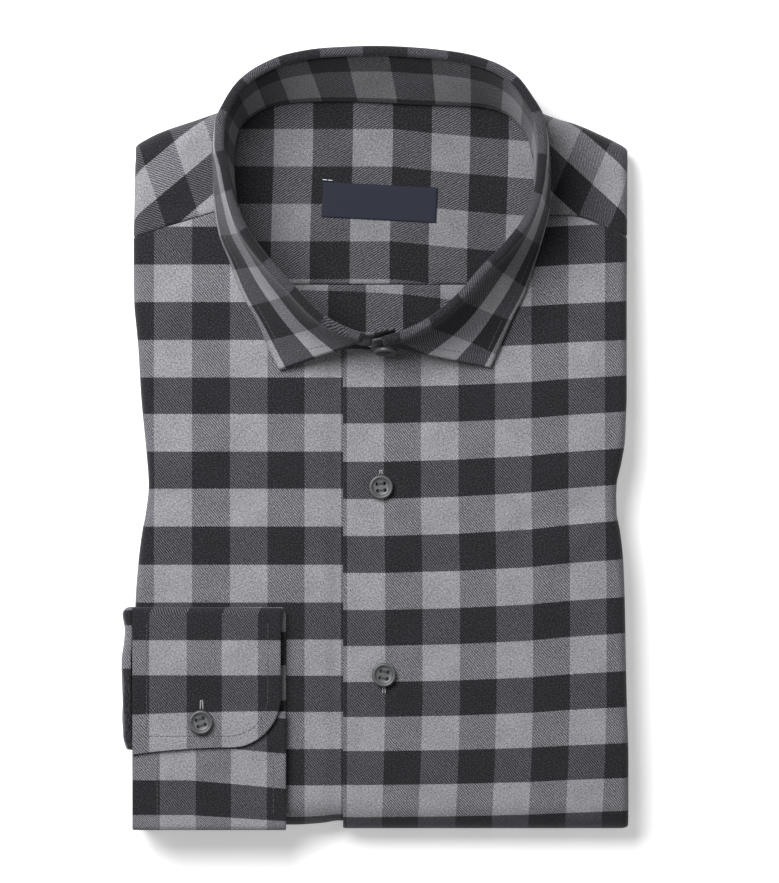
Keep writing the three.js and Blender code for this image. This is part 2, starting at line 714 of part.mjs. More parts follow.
// The folded layers inside the stack, section by section up the front.
const CORE_INSET = NOSE_DEPTH + LIP_LENGTH + 1.8;
const CORE_GAP = WALL + SEAM_GAP;
const DISH_CLEARANCE = 0.6;
const SHOULDER_CLEARANCE = 1.2;
const FIN_INSET = 3.4;
const FIN_ROUND = 1.4;
const EXPOSED_INSET = 1.2;
const GROOVE_INSET = 6.5;
const CORNER = 1.8;
const CORE_STATIONS = [
  -176.5, -174.5, BOTTOM_TURN - 0.9, BOTTOM_TURN, BOTTOM_TURN + 0.8,
  BOTTOM_TURN + UNDER_FRONT_RAISE, -120, -76, -43, -24, -5, 14,
  TAIL_HEM + UNDER_FRONT_RAISE + 0.5, TAIL_HEM + UNDER_FRONT_RAISE + 2.5, 40, 56, 73, 95,
  YOKE_HEM_UNDER - 2.5, YOKE_HEM_UNDER - 0.5, 120, 127, 129, 134, 140, 146, 152, 158, 163,
];
const CORE_PLACES = [-92, -78, ...DISH_PLACES, 86, 98];

// The strip where the wearer's right front dips under the placket.
function underPlacket(x) {
  return smoothStep(-39, -18, x) * (1 - smoothStep(-3, 5, x)) * (PLACKET_DIP + 0.1);
}

function coreTop(x, y) {
  const plain = stackHeight(y) - CORE_GAP - underPlacket(x) * (1 - smoothStep(26, 40, y));
  const acrossDish = smoothStep(DISH_LEFT - 10, DISH_LEFT + 1, x)
    * (1 - smoothStep(DISH_RIGHT - 1, DISH_RIGHT + 10, x));
  const alongDish = smoothStep(BACK_HIDDEN_END - 12, BACK_HIDDEN_END - 4, y);
  const dished = Math.min(plain, dishHeight(x, y) - CORE_GAP - DISH_CLEARANCE);
  return THREE.MathUtils.lerp(plain, dished, acrossDish * alongDish);
}

// Both fronts turn under at the bottom, the under one a little sooner.
function bottomTurn(x) {
  return BOTTOM_TURN + (x < UNDER_FRONT_END + 2 ? UNDER_FRONT_RAISE : 0);
}

// The height left at x inside the turn at the bottom edge or the shoulders.
function coreHeights(x, y) {
  const tail = y < TAIL_HEM + UNDER_FRONT_RAISE + 1;
  const covered = tail || y > YOKE_HEM_UNDER - 1;
  let top = coreTop(x, y);
  let bottom = covered ? CORE_GAP : 0;
  if (tail) {
    bottom += underPlacket(x);
  }
  const shoulder = shoulderTurn(x);
  const into = Math.max(bottomTurn(x) - y, y - shoulder.y);
  if (into > 0) {
    const height = y > 0 ? shoulder.height : STACK_HEIGHT;
    const radius = height / 2 - CORE_GAP - (tail ? underPlacket(x) : SHOULDER_CLEARANCE);
    const half = Math.sqrt(Math.max(0.3, radius ** 2 - into ** 2));
    top = Math.min(top, height / 2 + half);
    bottom = Math.max(bottom, height / 2 - half);
  }
  return { top, bottom };
}

// How far out the core reaches at a station, inside the shoulder slope.
function coreReach(y, outward) {
  const edge = sideEdge(y, outward < 0 ? 'left' : 'right');
  let x = edge - outward * CORE_INSET;
  while (shoulderLine(x) - CORE_GAP - SHOULDER_CLEARANCE < y) {
    x -= outward;
  }
  return x;
}

// The side of a section: the tail's nose where no cloth covers it, then the
// sleeves' fin between the noses of the front and of the tail.
function coreSide(y, outward) {
  const edge = sideEdge(y, outward < 0 ? 'left' : 'right');
  const reach = coreReach(y, outward);
  const height = stackHeight(y);
  const exposed = y > TAIL_HEM + UNDER_FRONT_RAISE + 1 && y < YOKE_HEM_UNDER - 1;
  const finned = y >= bottomTurn(edge) && y < shoulderTurn(edge).y;
  const lowX = exposed ? edge - outward * EXPOSED_INSET : reach;
  const grooveX = exposed ? edge - outward * GROOVE_INSET : reach;
  const finX = finned ? edge - outward * FIN_INSET : reach;
  const { top, bottom } = coreHeights(reach, y);
  const at = (share) => (finned ? share * height : THREE.MathUtils.lerp(bottom, top, share));
  const low = THREE.MathUtils.lerp(bottom, at(0.4), 0.3);
  const high = THREE.MathUtils.lerp(bottom, at(0.4), 0.75);
  return [
    { x: lowX - outward * CORNER, z: bottom },
    { x: lowX, z: low },
    { x: lowX, z: high },
    { x: lowX - outward * CORNER, z: at(0.4) },
    { x: grooveX, z: at(0.43) },
    { x: finX - outward * FIN_ROUND, z: at(0.435) },
    { x: finX, z: at(0.5) },
    { x: finX - outward * FIN_ROUND, z: at(0.565) },
    { x: reach, z: at(0.57) },
    { x: reach - outward * 0.6, z: THREE.MathUtils.lerp(at(0.57), top, 0.4) },
  ];
}

function coreSection(y) {
  const left = coreReach(y, -1) + CORNER;
  const right = coreReach(y, 1) - CORNER;
  const across = CORE_PLACES.map((place, index) => {
    const fromLeft = left + 0.4 * (index + 1);
    const fromRight = right - 0.4 * (CORE_PLACES.length - index);
    return THREE.MathUtils.clamp(place, fromLeft, fromRight);
  });
  const bottoms = across.map((x) => ({ x, z: coreHeights(x, y).bottom }));
  const tops = across.map((x) => ({ x, z: coreHeights(x, y).top })).reverse();
  const outline = [...bottoms, ...coreSide(y, 1), ...tops, ...coreSide(y, -1).reverse()];
  return outline.map((spot) => new THREE.Vector3(spot.x, y, spot.z));
}

function foldedLayers() {
  return loftSolid(CORE_STATIONS.map(coreSection).reverse());
}

// A four-hole shirt button: a turned disc with a raised rim.
function closedMesh(geometry) {
  const plain = geometry.clone();
  plain.deleteAttribute('normal');
  plain.deleteAttribute('uv');
  const merged = BufferGeometryUtils.mergeVertices(plain, 1e-4);
  return new wasm.Manifold(new wasm.Mesh({
    numProp: 3,
    vertProperties: new Float32Array(merged.attributes.position.array),
    triVerts: new Uint32Array(merged.index.array),
  }));
}

function fromManifold(solid) {
  const mesh = solid.getMesh();
  const geometry = new THREE.BufferGeometry();
  geometry.setAttribute('position', new THREE.Float32BufferAttribute(mesh.vertProperties, 3));
  geometry.setIndex(Array.from(mesh.triVerts));
  return geometry;
}

function buttonShape() {
  const profile = [
    [0, 0],
    [0.72, 0],
    [0.97, 0.3],
    [1, 0.62],
    [0.9, 1],
    [0.74, 0.98],
    [0.62, 0.62],
    [0, 0.56],
  ].map(([out, up]) => new THREE.Vector2(out * BUTTON_RADIUS, up * BUTTON_HEIGHT));
  const disc = new THREE.LatheGeometry(profile, BUTTON_SEGMENTS);
  disc.rotateX(Math.PI / 2);
  let solid = closedMesh(disc);
  for (const [dx, dy] of [[1, 1], [-1, 1], [-1, -1], [1, -1]]) {
    const drill = new THREE.CylinderGeometry(BUTTON_HOLE_RADIUS, BUTTON_HOLE_RADIUS, 3 * BUTTON_HEIGHT, 6);
    drill.rotateX(Math.PI / 2);
    drill.translate(dx * BUTTON_HOLE_SPACING, dy * BUTTON_HOLE_SPACING, 0);
    solid = solid.subtract(closedMesh(drill));
  }
  return fromManifold(solid);
}

const BUTTONS = [
  { name: 'button_front_1', x: 2.6, y: -22.6, z: STACK_HEIGHT + SEAM_GAP, tilt: 0 },
  { name: 'button_front_2', x: 4, y: -110.9, z: STACK_HEIGHT + SEAM_GAP, tilt: 0 },
  { name: 'button_cuff', x: -82, y: -133, z: CUFF.top + SEAM_GAP, tilt: 0 },
  { name: 'button_collar', x: 4.6, y: 42.5, z: 34.5, tilt: THREE.MathUtils.degToRad(76) },
];

// Colours and finish of the cloth, the label and the buttons.
const flannel = (shade) => new THREE.MeshStandardMaterial({ color: shade, roughness: 0.95, metalness: 0 });
const cloth = flannel(0x6a6a6e);
const clothInside = flannel(0x5e5e62);
const labelCloth = new THREE.MeshStandardMaterial({ color: 0x23273a, roughness: 0.7, metalness: 0 });
const buttonHorn = new THREE.MeshStandardMaterial({ color: 0x4a4c4e, roughness: 0.4, metalness: 0 });

const shirt = new THREE.Group();

function addPiece(name, geometry, material) {
  const mesh = new THREE.Mesh(geometry, material);
  mesh.name = name;
  shirt.add(mesh);
  return mesh;
}

addPiece('front_left', frontLeft(), cloth);
addPiece('front_right', frontRight(), cloth);
addPiece('yoke_outer', yokeOuter(), cloth);
addPiece('yoke_inner', yokeInner(), clothInside);
addPiece('back', backPanel(), clothInside);
addPiece('collar_leaf', collarLeaf(), cloth);
addPiece('collar_stand', collarStand(), clothInside);
addPiece('sleeve', sleeveEnd(), cloth);
addPiece('cuff', cuffBand(), cloth);
addPiece('folded_layers', foldedLayers(), clothInside);
addPiece('label', neckLabel(), labelCloth);
for (const row of BUTTONS) {
  const button = addPiece(row.name, buttonShape(), buttonHorn);
  button.position.set(row.x, row.y, row.z);
  button.rotation.x = row.tilt;
}

export default shirt;
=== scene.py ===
"""The looks of a folded gingham flannel shirt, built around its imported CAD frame.

Lengths in the tables are millimetres. A photograph pixel is PIXEL millimetres,
and photo(px, py) gives its place in the row frame.
"""

from math import acos, cos, hypot, pi, radians, sin, sqrt

import bpy
import numpy as np
from mathutils import Matrix, Vector


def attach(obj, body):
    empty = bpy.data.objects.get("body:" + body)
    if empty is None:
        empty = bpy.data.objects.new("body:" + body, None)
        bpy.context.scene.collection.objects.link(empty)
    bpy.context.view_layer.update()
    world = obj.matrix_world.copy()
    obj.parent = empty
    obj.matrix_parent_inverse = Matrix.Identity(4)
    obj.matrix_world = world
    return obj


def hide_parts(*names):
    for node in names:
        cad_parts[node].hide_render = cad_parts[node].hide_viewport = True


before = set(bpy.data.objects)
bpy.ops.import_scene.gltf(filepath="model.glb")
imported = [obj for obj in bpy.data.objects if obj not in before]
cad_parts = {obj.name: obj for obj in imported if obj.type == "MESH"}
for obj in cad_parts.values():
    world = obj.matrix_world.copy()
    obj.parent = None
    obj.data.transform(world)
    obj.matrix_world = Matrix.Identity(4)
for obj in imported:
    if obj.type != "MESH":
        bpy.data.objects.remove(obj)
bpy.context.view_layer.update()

MM = 0.001
PIXEL = 0.47
MIDDLE_X = 375.5
MIDDLE_Y = 439.0
PHOTO_WIDTH, PHOTO_HEIGHT = 779, 883
CHECK = 17.5  # one check on the flat cloth


def photo(px, py):
    return (px - MIDDLE_X) * PIXEL, (MIDDLE_Y - py) * PIXEL


def pixels(x, y):
    return x / PIXEL + MIDDLE_X, MIDDLE_Y - y / PIXEL


# Outlines of the folded shirt, in millimetres.
BOTTOM_EDGE = -183.3
HEIGHT = 24.0
NOSE_LEVEL = 0.59
NOSE_DEPTH = 3.5
NOSE_ARC = 4.25
LIP = 9.0
TAIL_HEM = 20.0
YOKE_HEM = 108.0
PLACKET = -15.3
UNDER_END = -4.0
PLACKET_DIP = 1.95
UNDER_RAISE = 1.7
INNER_SEAM = 73.0
GAP = 0.35
WALL = 1.6
ONE_LAYER, TWO_LAYERS, LEAF_LAYERS, LABEL_LAYER = 0.9, 1.3, 1.4, 0.45
SHOULDER_SEAM_Y, SHOULDER_FOLD_Y = 95, 138
DISH_LEFT, DISH_RIGHT = -67.0, 76.0
BOTTOM_TURN = BOTTOM_EDGE + HEIGHT / 2
YOKE_TUCK = 2.0
INNER_LEFT, INNER_RIGHT = -67.4, 76.6
BUTTON_ONE, BUTTON_TWO, CUFF_BUTTON = (2.6, -22.6), (4.0, -110.9), (-82, -133)
BUTTON_RADIUS, BUTTON_THICK, BUTTON_FLOOR = 5.7, 2.6, 0.56
HOLE_RADIUS, HOLE_OFFSET = 0.88, 1.6
LABEL_WIDTH, LABEL_DEPTH = 54, 16.6
STITCH_LENGTH, STITCH_GAP, STITCH_RADIUS = 2.0, 0.6, 0.13

HEIGHTS = np.array([(-190, 24), (-60, 24), (20, 24), (60, 23.2), (100, 20.8), (140, 17.6), (170, 16.4)])
SIDES = np.array([
    (-190, -114, 119), (-146, -114, 119), (-123, -114, 118.2), (-76, -113, 117.3), (-57, -111.6, 116.7),
    (-43, -109.7, 115), (-29, -106.9, 112.6), (-19, -106.7, 113.8), (-5, -107.9, 117.2),
    (18, -110.2, 118.2), (42, -111.6, 118.2), (65, -113.7, 118.2), (95, -113.9, 118.4), (138, -113, 118.7),
])
SHOULDERS = np.array([
    (-114, 138), (-101, 144.8), (-84, 150.4), (-70, 155.3), (-66, 158.5), (-60, 162.5), (-50, 166),
    (-36, 168.5), (-20, 169.8), (5, 170.5), (35, 169.5), (49, 167.5), (57, 166), (64, 163.5), (72, 158.5),
    (78, 153.6), (87, 150.4), (97.5, 147.4), (108, 142.4), (119, 136.8),
])
RIGHT_FRONT_TOP = np.array([
    (-114, 95.4), (-90, 102.5), (-75, 107), (-64.5, 109.5), (-62, 98), (-56.5, 86), (-48.5, 75),
    (-38.5, 64), (-25, 53.5), (-11.5, 46.2), (UNDER_END, 44.4),
])
LEFT_FRONT_TOP = np.array([
    (PLACKET, 47.6), (-5, 44), (4, 42.6), (15, 44.6), (27, 51), (38, 61.5), (49.5, 74), (60, 86),
    (67.5, 96.5), (72, 105), (82, 105.3), (93.8, 104.8), (105.5, 101), (119, 95.4),
])
# Collar sections: neck seam x y, inner edge of the roll x y z, hem x y z.
COLLAR = np.array([
    (-5, 44.6, -5, 49.6, 49.5, -45.4, 32, 26.2),
    (-11.5, 46.2, -11, 51.4, 50.5, -49.6, 40.9, 26.2),
    (-25, 53.5, -24.2, 58.3, 52, -55.2, 53.6, 25.9),
    (-38.5, 64, -38.8, 72.9, 54, -62.3, 66.7, 25.3),
    (-48.5, 75, -50.5, 86, 55.5, -68.9, 83.2, 24.4),
    (-56.5, 86, -59.9, 99.2, 56.5, -74, 96.4, 23.5),
    (-62, 98, -65.6, 112.3, 57, -76.1, 110, 22.5),
    (-65, 113, -68.9, 126.4, 57, -76.8, 124.1, 21.3),
    (-66, 126, -70.7, 138.2, 56, -77, 135.8, 20.3),
    (-65.5, 137, -70.3, 147.6, 54.5, -76, 147, 19.6),
    (-63.5, 145, -67.4, 154.6, 53, -72.6, 156.4, 16.5),
    (-58, 151.5, -61.3, 164, 51, -65.1, 165.2, 9),
    (-49, 156, -52.4, 170.8, 49.5, -55.2, 173, 6),
    (-36, 158, -40.2, 175.8, 48, -42.1, 178.8, 5),
    (-19, 158.5, -21.4, 178.8, 47, -21.9, 182.6, 4.5),
    (0, 158, -0.2, 179.6, 46.5, -0.2, 183.4, 4.2),
    (20, 157, 20.9, 178.6, 46.5, 21.9, 182.4, 4.5),
    (35, 156.5, 37.4, 176.8, 47.5, 38.8, 180.4, 5),
    (49, 156, 52.9, 172.6, 49, 54.8, 175.8, 6),
    (60, 153, 63.2, 166.4, 50.5, 66.6, 168.6, 9),
    (67.5, 147, 69.8, 157.5, 52.5, 74.6, 159, 15),
    (72, 139.5, 74, 149.9, 54, 79.4, 151, 19.6),
    (74.5, 128, 75.9, 138.2, 56, 82, 136.3, 20.3),
    (74.5, 117, 75.4, 125.5, 57, 82.6, 122.7, 21.3),
    (72, 106.5, 73.6, 114.7, 57, 82.5, 110.9, 22.5),
    (67.5, 96.5, 69.3, 103.9, 56.5, 80.1, 98.7, 23.5),
    (60, 86, 60.9, 92.6, 55.5, 75.9, 84.1, 24.4),
    (49.5, 74, 49.1, 80.4, 54.5, 69.8, 67.2, 25.3),
    (38, 61.5, 37.4, 67.2, 53, 65.1, 57.8, 25.8),
    (27, 51, 25.6, 57.4, 52, 61.8, 50.3, 26),
    (15, 44.6, 13.9, 51.4, 50.5, 58.1, 41.8, 26.2),
    (4, 42.6, 2.6, 47.8, 49.5, 54.3, 33.4, 26.2),
])
STAND_UNDER = np.array([(9, 47, 9, 52.8, 49.5), (2, 45.4, 2, 50.6, 49.5)])
STAND_OVER = np.array([(-2.2, 42.2, -1.6, 47, 49.5)])
ROLL_RADIUS = 2.35
ROLL_LIMB = 3.2
DISH_FLOOR = np.array([(26, 19.4), (50, 17.8), (73, 16.2), (95, 14.8), (120, 14), (145, 13.8), (160, 14)])
SLEEVE_BULGE = np.array([
    (-79, -117.2), (-82, -119), (-90, -117.9), (-95, -118.2), (-104, -119.5), (-118, -119.1),
    (-139, -118.8), (-146, -117),
])
SLEEVE_SECTION = np.array([
    (0, 11.2), (0.55, 11.3), (0.92, 14), (1, 19), (0.97, 24), (0.9, 28.2), (0.74, 30.2), (0.55, 30.8),
    (0.42, 30.7),
])
CUFF_LEFT, CUFF_RIGHT_TOP, CUFF_RIGHT_UNDER = -114.2, -44.4, -42.0
CUFF_TOP_FOLD, CUFF_BOTTOM_FOLD, CUFF_TOP_END, CUFF_INNER_END = -79.0, -183.8, -145.0, -128.0
CUFF_CORNER, CUFF_FLOOR, CUFF_MIDDLE, CUFF_TOP = 24.0, 24.4, 29.0, 31.0


# Helpers for numbers and grids.
def read(table, column, value):
    return np.interp(value, table[:, 0], table[:, column])


def smooth(low, high, value):
    t = np.clip((np.asarray(value, float) - low) / (high - low), 0, 1)
    return t * t * (3 - 2 * t)


def lerp(a, b, t):
    return a + (b - a) * t


def pchip(x, values, at):
    """Values along a curve without overshoot. values is (n, ...), x rises."""
    x = np.asarray(x, float)
    values = np.asarray(values, float)
    steps = np.diff(x)
    shape = (-1,) + (1,) * (values.ndim - 1)
    secant = np.diff(values, axis=0) / steps.reshape(shape)
    slope = np.zeros_like(values)
    product = secant[:-1] * secant[1:]
    safe = np.where(product > 0, secant[:-1] + secant[1:], 1.0)
    slope[1:-1] = np.where(product > 0, 2 * product / safe, 0.0)
    slope[0] = secant[0]
    slope[-1] = secant[-1]
    i = np.clip(np.searchsorted(x, at, side="right") - 1, 0, len(x) - 2)
    h = steps[i].reshape(shape)
    t = ((at - x[i]) / steps[i]).reshape(shape)
    t2, t3 = t * t, t * t * t
    return (
        values[i] * (2 * t3 - 3 * t2 + 1)
        + slope[i] * h * (t3 - 2 * t2 + t)
        + values[i + 1] * (3 * t2 - 2 * t3)
        + slope[i + 1] * h * (t3 - t2)
    )


def refine(grid, rows, columns):
    """A finer grid through the same points, even along its mean length both ways."""
    for axis, count in ((0, rows), (1, columns)):
        moved = np.moveaxis(grid, axis, 0)
        chord = np.linalg.norm(np.diff(moved[..., :3], axis=0), axis=-1).mean(axis=1)
        along = np.concatenate([[0], np.cumsum(np.maximum(chord, 1e-6))])
        fine = pchip(along, moved, np.linspace(0, along[-1], count))
        grid = np.moveaxis(fine, 0, axis)
    return grid


def normals_of(points):
    ahead = np.gradient(points, axis=0)
    across = np.gradient(points, axis=1)
    n = np.cross(ahead, across)
    return n / np.maximum(np.linalg.norm(n, axis=-1, keepdims=True), 1e-9)


def stack_height(y):
    return read(HEIGHTS, 1, y)


def side_edge(y, side):
    return read(SIDES, 1 if side < 0 else 2, y)


# Helpers for meshes.
def add_object(name, vertices, faces, material, check=None):
    mesh = bpy.data.meshes.new(name)
    mesh.from_pydata((np.asarray(vertices) * MM).tolist(), [], [list(f) for f in faces])
    if check is not None:
        layer = mesh.attributes.new("check", "FLOAT_VECTOR", "POINT")
        layer.data.foreach_set("vector", np.asarray(check, np.float32).ravel())
    mesh.polygons.foreach_set("use_smooth", [True] * len(mesh.polygons))
    mesh.materials.append(material)
    mesh.update()
    obj = bpy.data.objects.new(name, mesh)
    bpy.context.scene.collection.objects.link(obj)
    return obj


def cloth(name, points, flat, thick, side, material, face=1.0, soft_edge=0.35):
    """A closed sheet: its shown face on points, its wall behind, its rims rounded."""
    rows, columns = points.shape[:2]
    n = normals_of(points) * side
    inner = points - n * thick
    edge = np.zeros((rows, columns, 1))
    edge[0, :] = edge[-1, :] = 1
    edge[:, 0] = edge[:, -1] = 1
    outer = points - n * edge * min(soft_edge, thick * 0.4)
    inner = inner + n * edge * min(soft_edge, thick * 0.4)
    vertices = np.concatenate([outer.reshape(-1, 3), inner.reshape(-1, 3)])
    index = np.arange(rows * columns).reshape(rows, columns)
    a, b, c, d = index[:-1, :-1], index[1:, :-1], index[1:, 1:], index[:-1, 1:]
    top = np.stack([a, b, c, d], axis=-1).reshape(-1, 4)
    bottom = np.stack([a, d, c, b], axis=-1).reshape(-1, 4) + rows * columns
    if side < 0:
        top, bottom = top[:, ::-1], bottom[:, ::-1]
    ring = np.concatenate([index[:, 0], index[-1, 1:], index[-2::-1, -1], index[0, -2:0:-1]])
    after = np.roll(ring, -1)
    rim = np.stack([ring, after, after + rows * columns, ring + rows * columns], axis=-1)
    if side > 0:
        rim = rim[:, ::-1]
    faces = np.concatenate([top, bottom, rim])
    flags = np.full((rows, columns, 1), face)
    check = np.concatenate([flat, flags], axis=-1).reshape(-1, 3)
    back = check * np.array([1.0, 1.0, -1.0])
    return add_object(name, vertices, faces, material, np.concatenate([check, back]))


def tube(rings, base=0):
    """Faces round a run of equal rings of points, with both ends closed."""
    count, faces = len(rings[0]), []
    for s in range(len(rings) - 1):
        for j in range(count):
            a, b = base + s * count + j, base + s * count + (j + 1) % count
            faces.append((a, b, b + count, a + count))
    last = base + (len(rings) - 1) * count
    faces.append(tuple(base + j for j in range(count))[::-1])
    faces.append(tuple(last + j for j in range(count)))
    return faces


# Materials.
class Nodes:
    def __init__(self, name):
        self.material = bpy.data.materials.new(name)
        self.material.use_nodes = True
        self.tree = self.material.node_tree
        self.tree.nodes.clear()

    def add(self, kind, inputs=None, **settings):
        node = self.tree.nodes.new(kind)
        for key, value in settings.items():
            setattr(node, key, value)
        for key, value in (inputs or {}).items():
            self.put(node.inputs[key], value)
        return node

    def put(self, socket, value):
        if isinstance(value, bpy.types.NodeSocket):
            self.tree.links.new(value, socket)
        else:
            socket.default_value = value

    def math(self, operation, a, b=None, c=None):
        node = self.add("ShaderNodeMath", operation=operation)
        for slot, value in enumerate((a, b, c)):
            if value is not None:
                self.put(node.inputs[slot], value)
        return node.outputs[0]

    def times(self, a, b):
        return self.math("MULTIPLY", a, b)

    def plus(self, a, b):
        return self.math("ADD", a, b)

    def less(self, a, b):
        return self.math("SUBTRACT", a, b)

    def times_plus(self, a, b, c):
        return self.math("MULTIPLY_ADD", a, b, c)

    def mix(self, share, a, b):
        node = self.add("ShaderNodeMix", data_type="RGBA")
        self.put(node.inputs[0], share)
        self.put(node.inputs[6], a)
        self.put(node.inputs[7], b)
        return node.outputs[2]

    def scale(self, colour, amount):
        node = self.add("ShaderNodeVectorMath", operation="SCALE")
        self.put(node.inputs[0], colour[:3] if isinstance(colour, tuple) else colour)
        self.put(node.inputs[3], amount)
        return node.outputs[0]

    def noise(self, vector, scale, detail=2.0, roughness=0.5):
        node = self.add("ShaderNodeTexNoise", {
            "Vector": vector, "Scale": scale, "Detail": detail, "Roughness": roughness,
        })
        return node.outputs[0]

    def finish(self, surface):
        out = self.add("ShaderNodeOutputMaterial")
        self.tree.links.new(surface, out.inputs[0])
        return self.material


# Yarn shades as perceived lightness, which is how fuzzy yarns mix side by side.
DARK_YARN = 0.138
LIGHT_YARN = 0.5
YARN_TINT = (1.0, 0.985, 1.06)
DARK_TINT = (0.985, 0.985, 1.2)
SOFTNESS = 0.37


def flannel(name, weft_share, across, along, painted_shade=1.0):
    """Brushed gingham twill: warp stripes crossed by weft stripes, on the check attribute."""
    n = Nodes(name)
    source = n.add("ShaderNodeAttribute", attribute_name="check")
    parts = n.add("ShaderNodeSeparateXYZ", {0: source.outputs["Vector"]})
    u, v, face = parts.outputs[0], parts.outputs[1], parts.outputs[2]
    plain = n.add("ShaderNodeCombineXYZ", {0: u, 1: v}).outputs[0]
    wander = n.times(n.less(n.noise(plain, 9.0, 3.0), 0.5), 0.03)
    ragged = n.times(n.less(n.noise(plain, 70.0, 1.0), 0.5), 0.045)
    # A stripe is dark where the whole part of its number is even.
    u_edge = n.plus(n.plus(u, wander), ragged)
    v_edge = n.less(n.plus(v, wander), ragged)
    u_light = n.math("GREATER_THAN", n.math("FRACT", n.times(u_edge, 0.5)), 0.5)
    v_light = n.math("GREATER_THAN", n.math("FRACT", n.times(v_edge, 0.5)), 0.5)
    # Twill lines slant one way on the outer face and the other way on the inner one.
    slant = n.times(n.times(u, across), face)
    phase = n.plus(slant, n.times(v, along))
    bend = n.times(n.less(n.noise(plain, 6.0, 2.0), 0.5), 1.1)
    phase = n.plus(phase, bend)
    wave = n.math("SINE", n.times(phase, 2 * pi))
    fine = n.less(n.noise(plain, 120.0, 2.0, 0.6), 0.5)
    rough_wave = n.plus(wave, n.times(fine, 2.8))
    mask = n.times_plus(rough_wave, SOFTNESS, weft_share)
    mask = n.add("ShaderNodeClamp", {0: mask}).outputs[0]
    share = n.times_plus(mask, n.less(v_light, u_light), u_light)
    loss = n.times(n.times(share, n.less(1.0, share)), 0.36)
    share = n.less(share, loss)
    lightness = n.times_plus(share, LIGHT_YARN - DARK_YARN, DARK_YARN)
    tint = n.mix(share, (*DARK_TINT, 1), (*YARN_TINT, 1))
    # The yarn colour is scaled by the shade factor; below 1 this is painted shade over the whole piece.
    colour = n.scale(tint, n.times(n.math("POWER", lightness, 2.2), painted_shade))
    lanes = n.add("ShaderNodeVectorMath", {0: plain, 1: (14.0, 90.0, 1.0)}, operation="MULTIPLY")
    upright = n.add("ShaderNodeVectorMath", {0: plain, 1: (90.0, 14.0, 1.0)}, operation="MULTIPLY")
    slub = n.plus(n.noise(lanes.outputs[0], 1.0, 2.0), n.noise(upright.outputs[0], 1.0, 2.0))
    mottle = n.less(n.noise(plain, 26.0, 5.0, 0.7), 0.5)
    cloud = n.less(n.noise(plain, 1.3, 3.0, 0.6), 0.5)
    tone = n.times_plus(n.less(slub, 1.0), 1.5, 1.0)
    tone = n.times_plus(mottle, 3.3, tone)
    tone = n.times_plus(cloud, 0.5, tone)
    tone = n.times_plus(n.times(wave, -1.0), 0.04, tone)
    colour = n.scale(colour, n.math("MAXIMUM", tone, 0.3))
    fuzz = n.times(n.math("MAXIMUM", n.plus(mottle, 0.02), 0.0), 0.11)
    fuzz = n.times(fuzz, n.less(1.15, share))
    nap = n.add("ShaderNodeVectorMath", {0: colour, 1: n.scale(YARN_TINT, fuzz)}, operation="ADD")
    colour = nap.outputs[0]
    relief = n.plus(n.times(wave, 0.35), n.times(fine, 1.2))
    relief = n.plus(relief, n.times(mottle, 1.5))
    bump = n.add("ShaderNodeBump", {"Strength": 0.32, "Distance": 0.00025, "Height": relief})
    shader = n.add("ShaderNodeBsdfPrincipled", {
        "Base Color": colour, "Roughness": 0.93, "Normal": bump.outputs[0],
        "Specular IOR Level": 0.12, "Sheen Weight": 0.16, "Sheen Roughness": 0.45,
        "Sheen Tint": (0.8, 0.8, 0.85, 1),
    })
    return n.finish(shader.outputs[0])


def woven(name, colour, roughness, grain):
    """Close plain weave or thread in one colour."""
    n = Nodes(name)
    place = n.add("ShaderNodeTexCoord").outputs["Object"]
    fine = n.less(n.noise(place, grain, 3.0, 0.6), 0.5)
    tone = n.times_plus(fine, 0.5, 1.0)
    bump = n.add("ShaderNodeBump", {"Strength": 0.4, "Distance": 0.0001, "Height": fine})
    shader = n.add("ShaderNodeBsdfPrincipled", {
        "Base Color": n.scale(colour, tone), "Roughness": roughness, "Normal": bump.outputs[0],
        "Specular IOR Level": 0.3, "Sheen Weight": 0.1,
    })
    return n.finish(shader.outputs[0])


def horn(name):
    """Dark grey satin button with faint streaks."""
    n = Nodes(name)
    place = n.add("ShaderNodeTexCoord").outputs["Object"]
    long = n.add("ShaderNodeVectorMath", {0: place, 1: (260.0, 900.0, 260.0)}, operation="MULTIPLY")
    streak = n.noise(long.outputs[0], 1.0, 4.0, 0.6)
    colour = n.mix(streak, (0.028, 0.029, 0.031, 1), (0.11, 0.112, 0.118, 1))
    rough = n.times_plus(n.noise(place, 2600.0, 2.0), 0.2, 0.3)
    shader = n.add("ShaderNodeBsdfPrincipled", {
        "Base Color": colour, "Roughness": rough, "Specular IOR Level": 0.5, "Coat Weight": 0.08,
        "Coat Roughness": 0.3,
    })
    return n.finish(shader.outputs[0])


CLOTH_OUT = flannel("flannel_outer", 0.7, 14.5, 12.1)
# Inner face of the flannel for the inner yoke, back and stand: its own twill slant and weft share, with
# all colour darkened to 0.74 as painted shade for the shadowed well inside the collar.
CLOTH_IN_SHADED = flannel("flannel_inside_painted_shade", 0.5, 10.4, 15.3, 0.74)
LABEL_CLOTH = woven("label_weave", (0.0058, 0.0078, 0.019, 1), 0.75, 2600.0)
LABEL_THREAD = woven("label_thread", (0.55, 0.56, 0.6, 1), 0.7, 4000.0)
DARK_THREAD = woven("dark_thread", (0.04, 0.04, 0.045, 1), 0.75, 4000.0)
SEAM_THREAD = woven("seam_thread", (0.07, 0.07, 0.075, 1), 0.8, 4000.0)
HOLE_THREAD = woven("hole_thread", (0.24, 0.24, 0.25, 1), 0.8, 4000.0)
BUTTON_HORN = horn("button_horn")

def settle(obj, nodes):
    """Rides the one body and replaces its CAD nodes."""
    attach(obj, "root")
    if nodes:
        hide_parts(*nodes)
    return obj


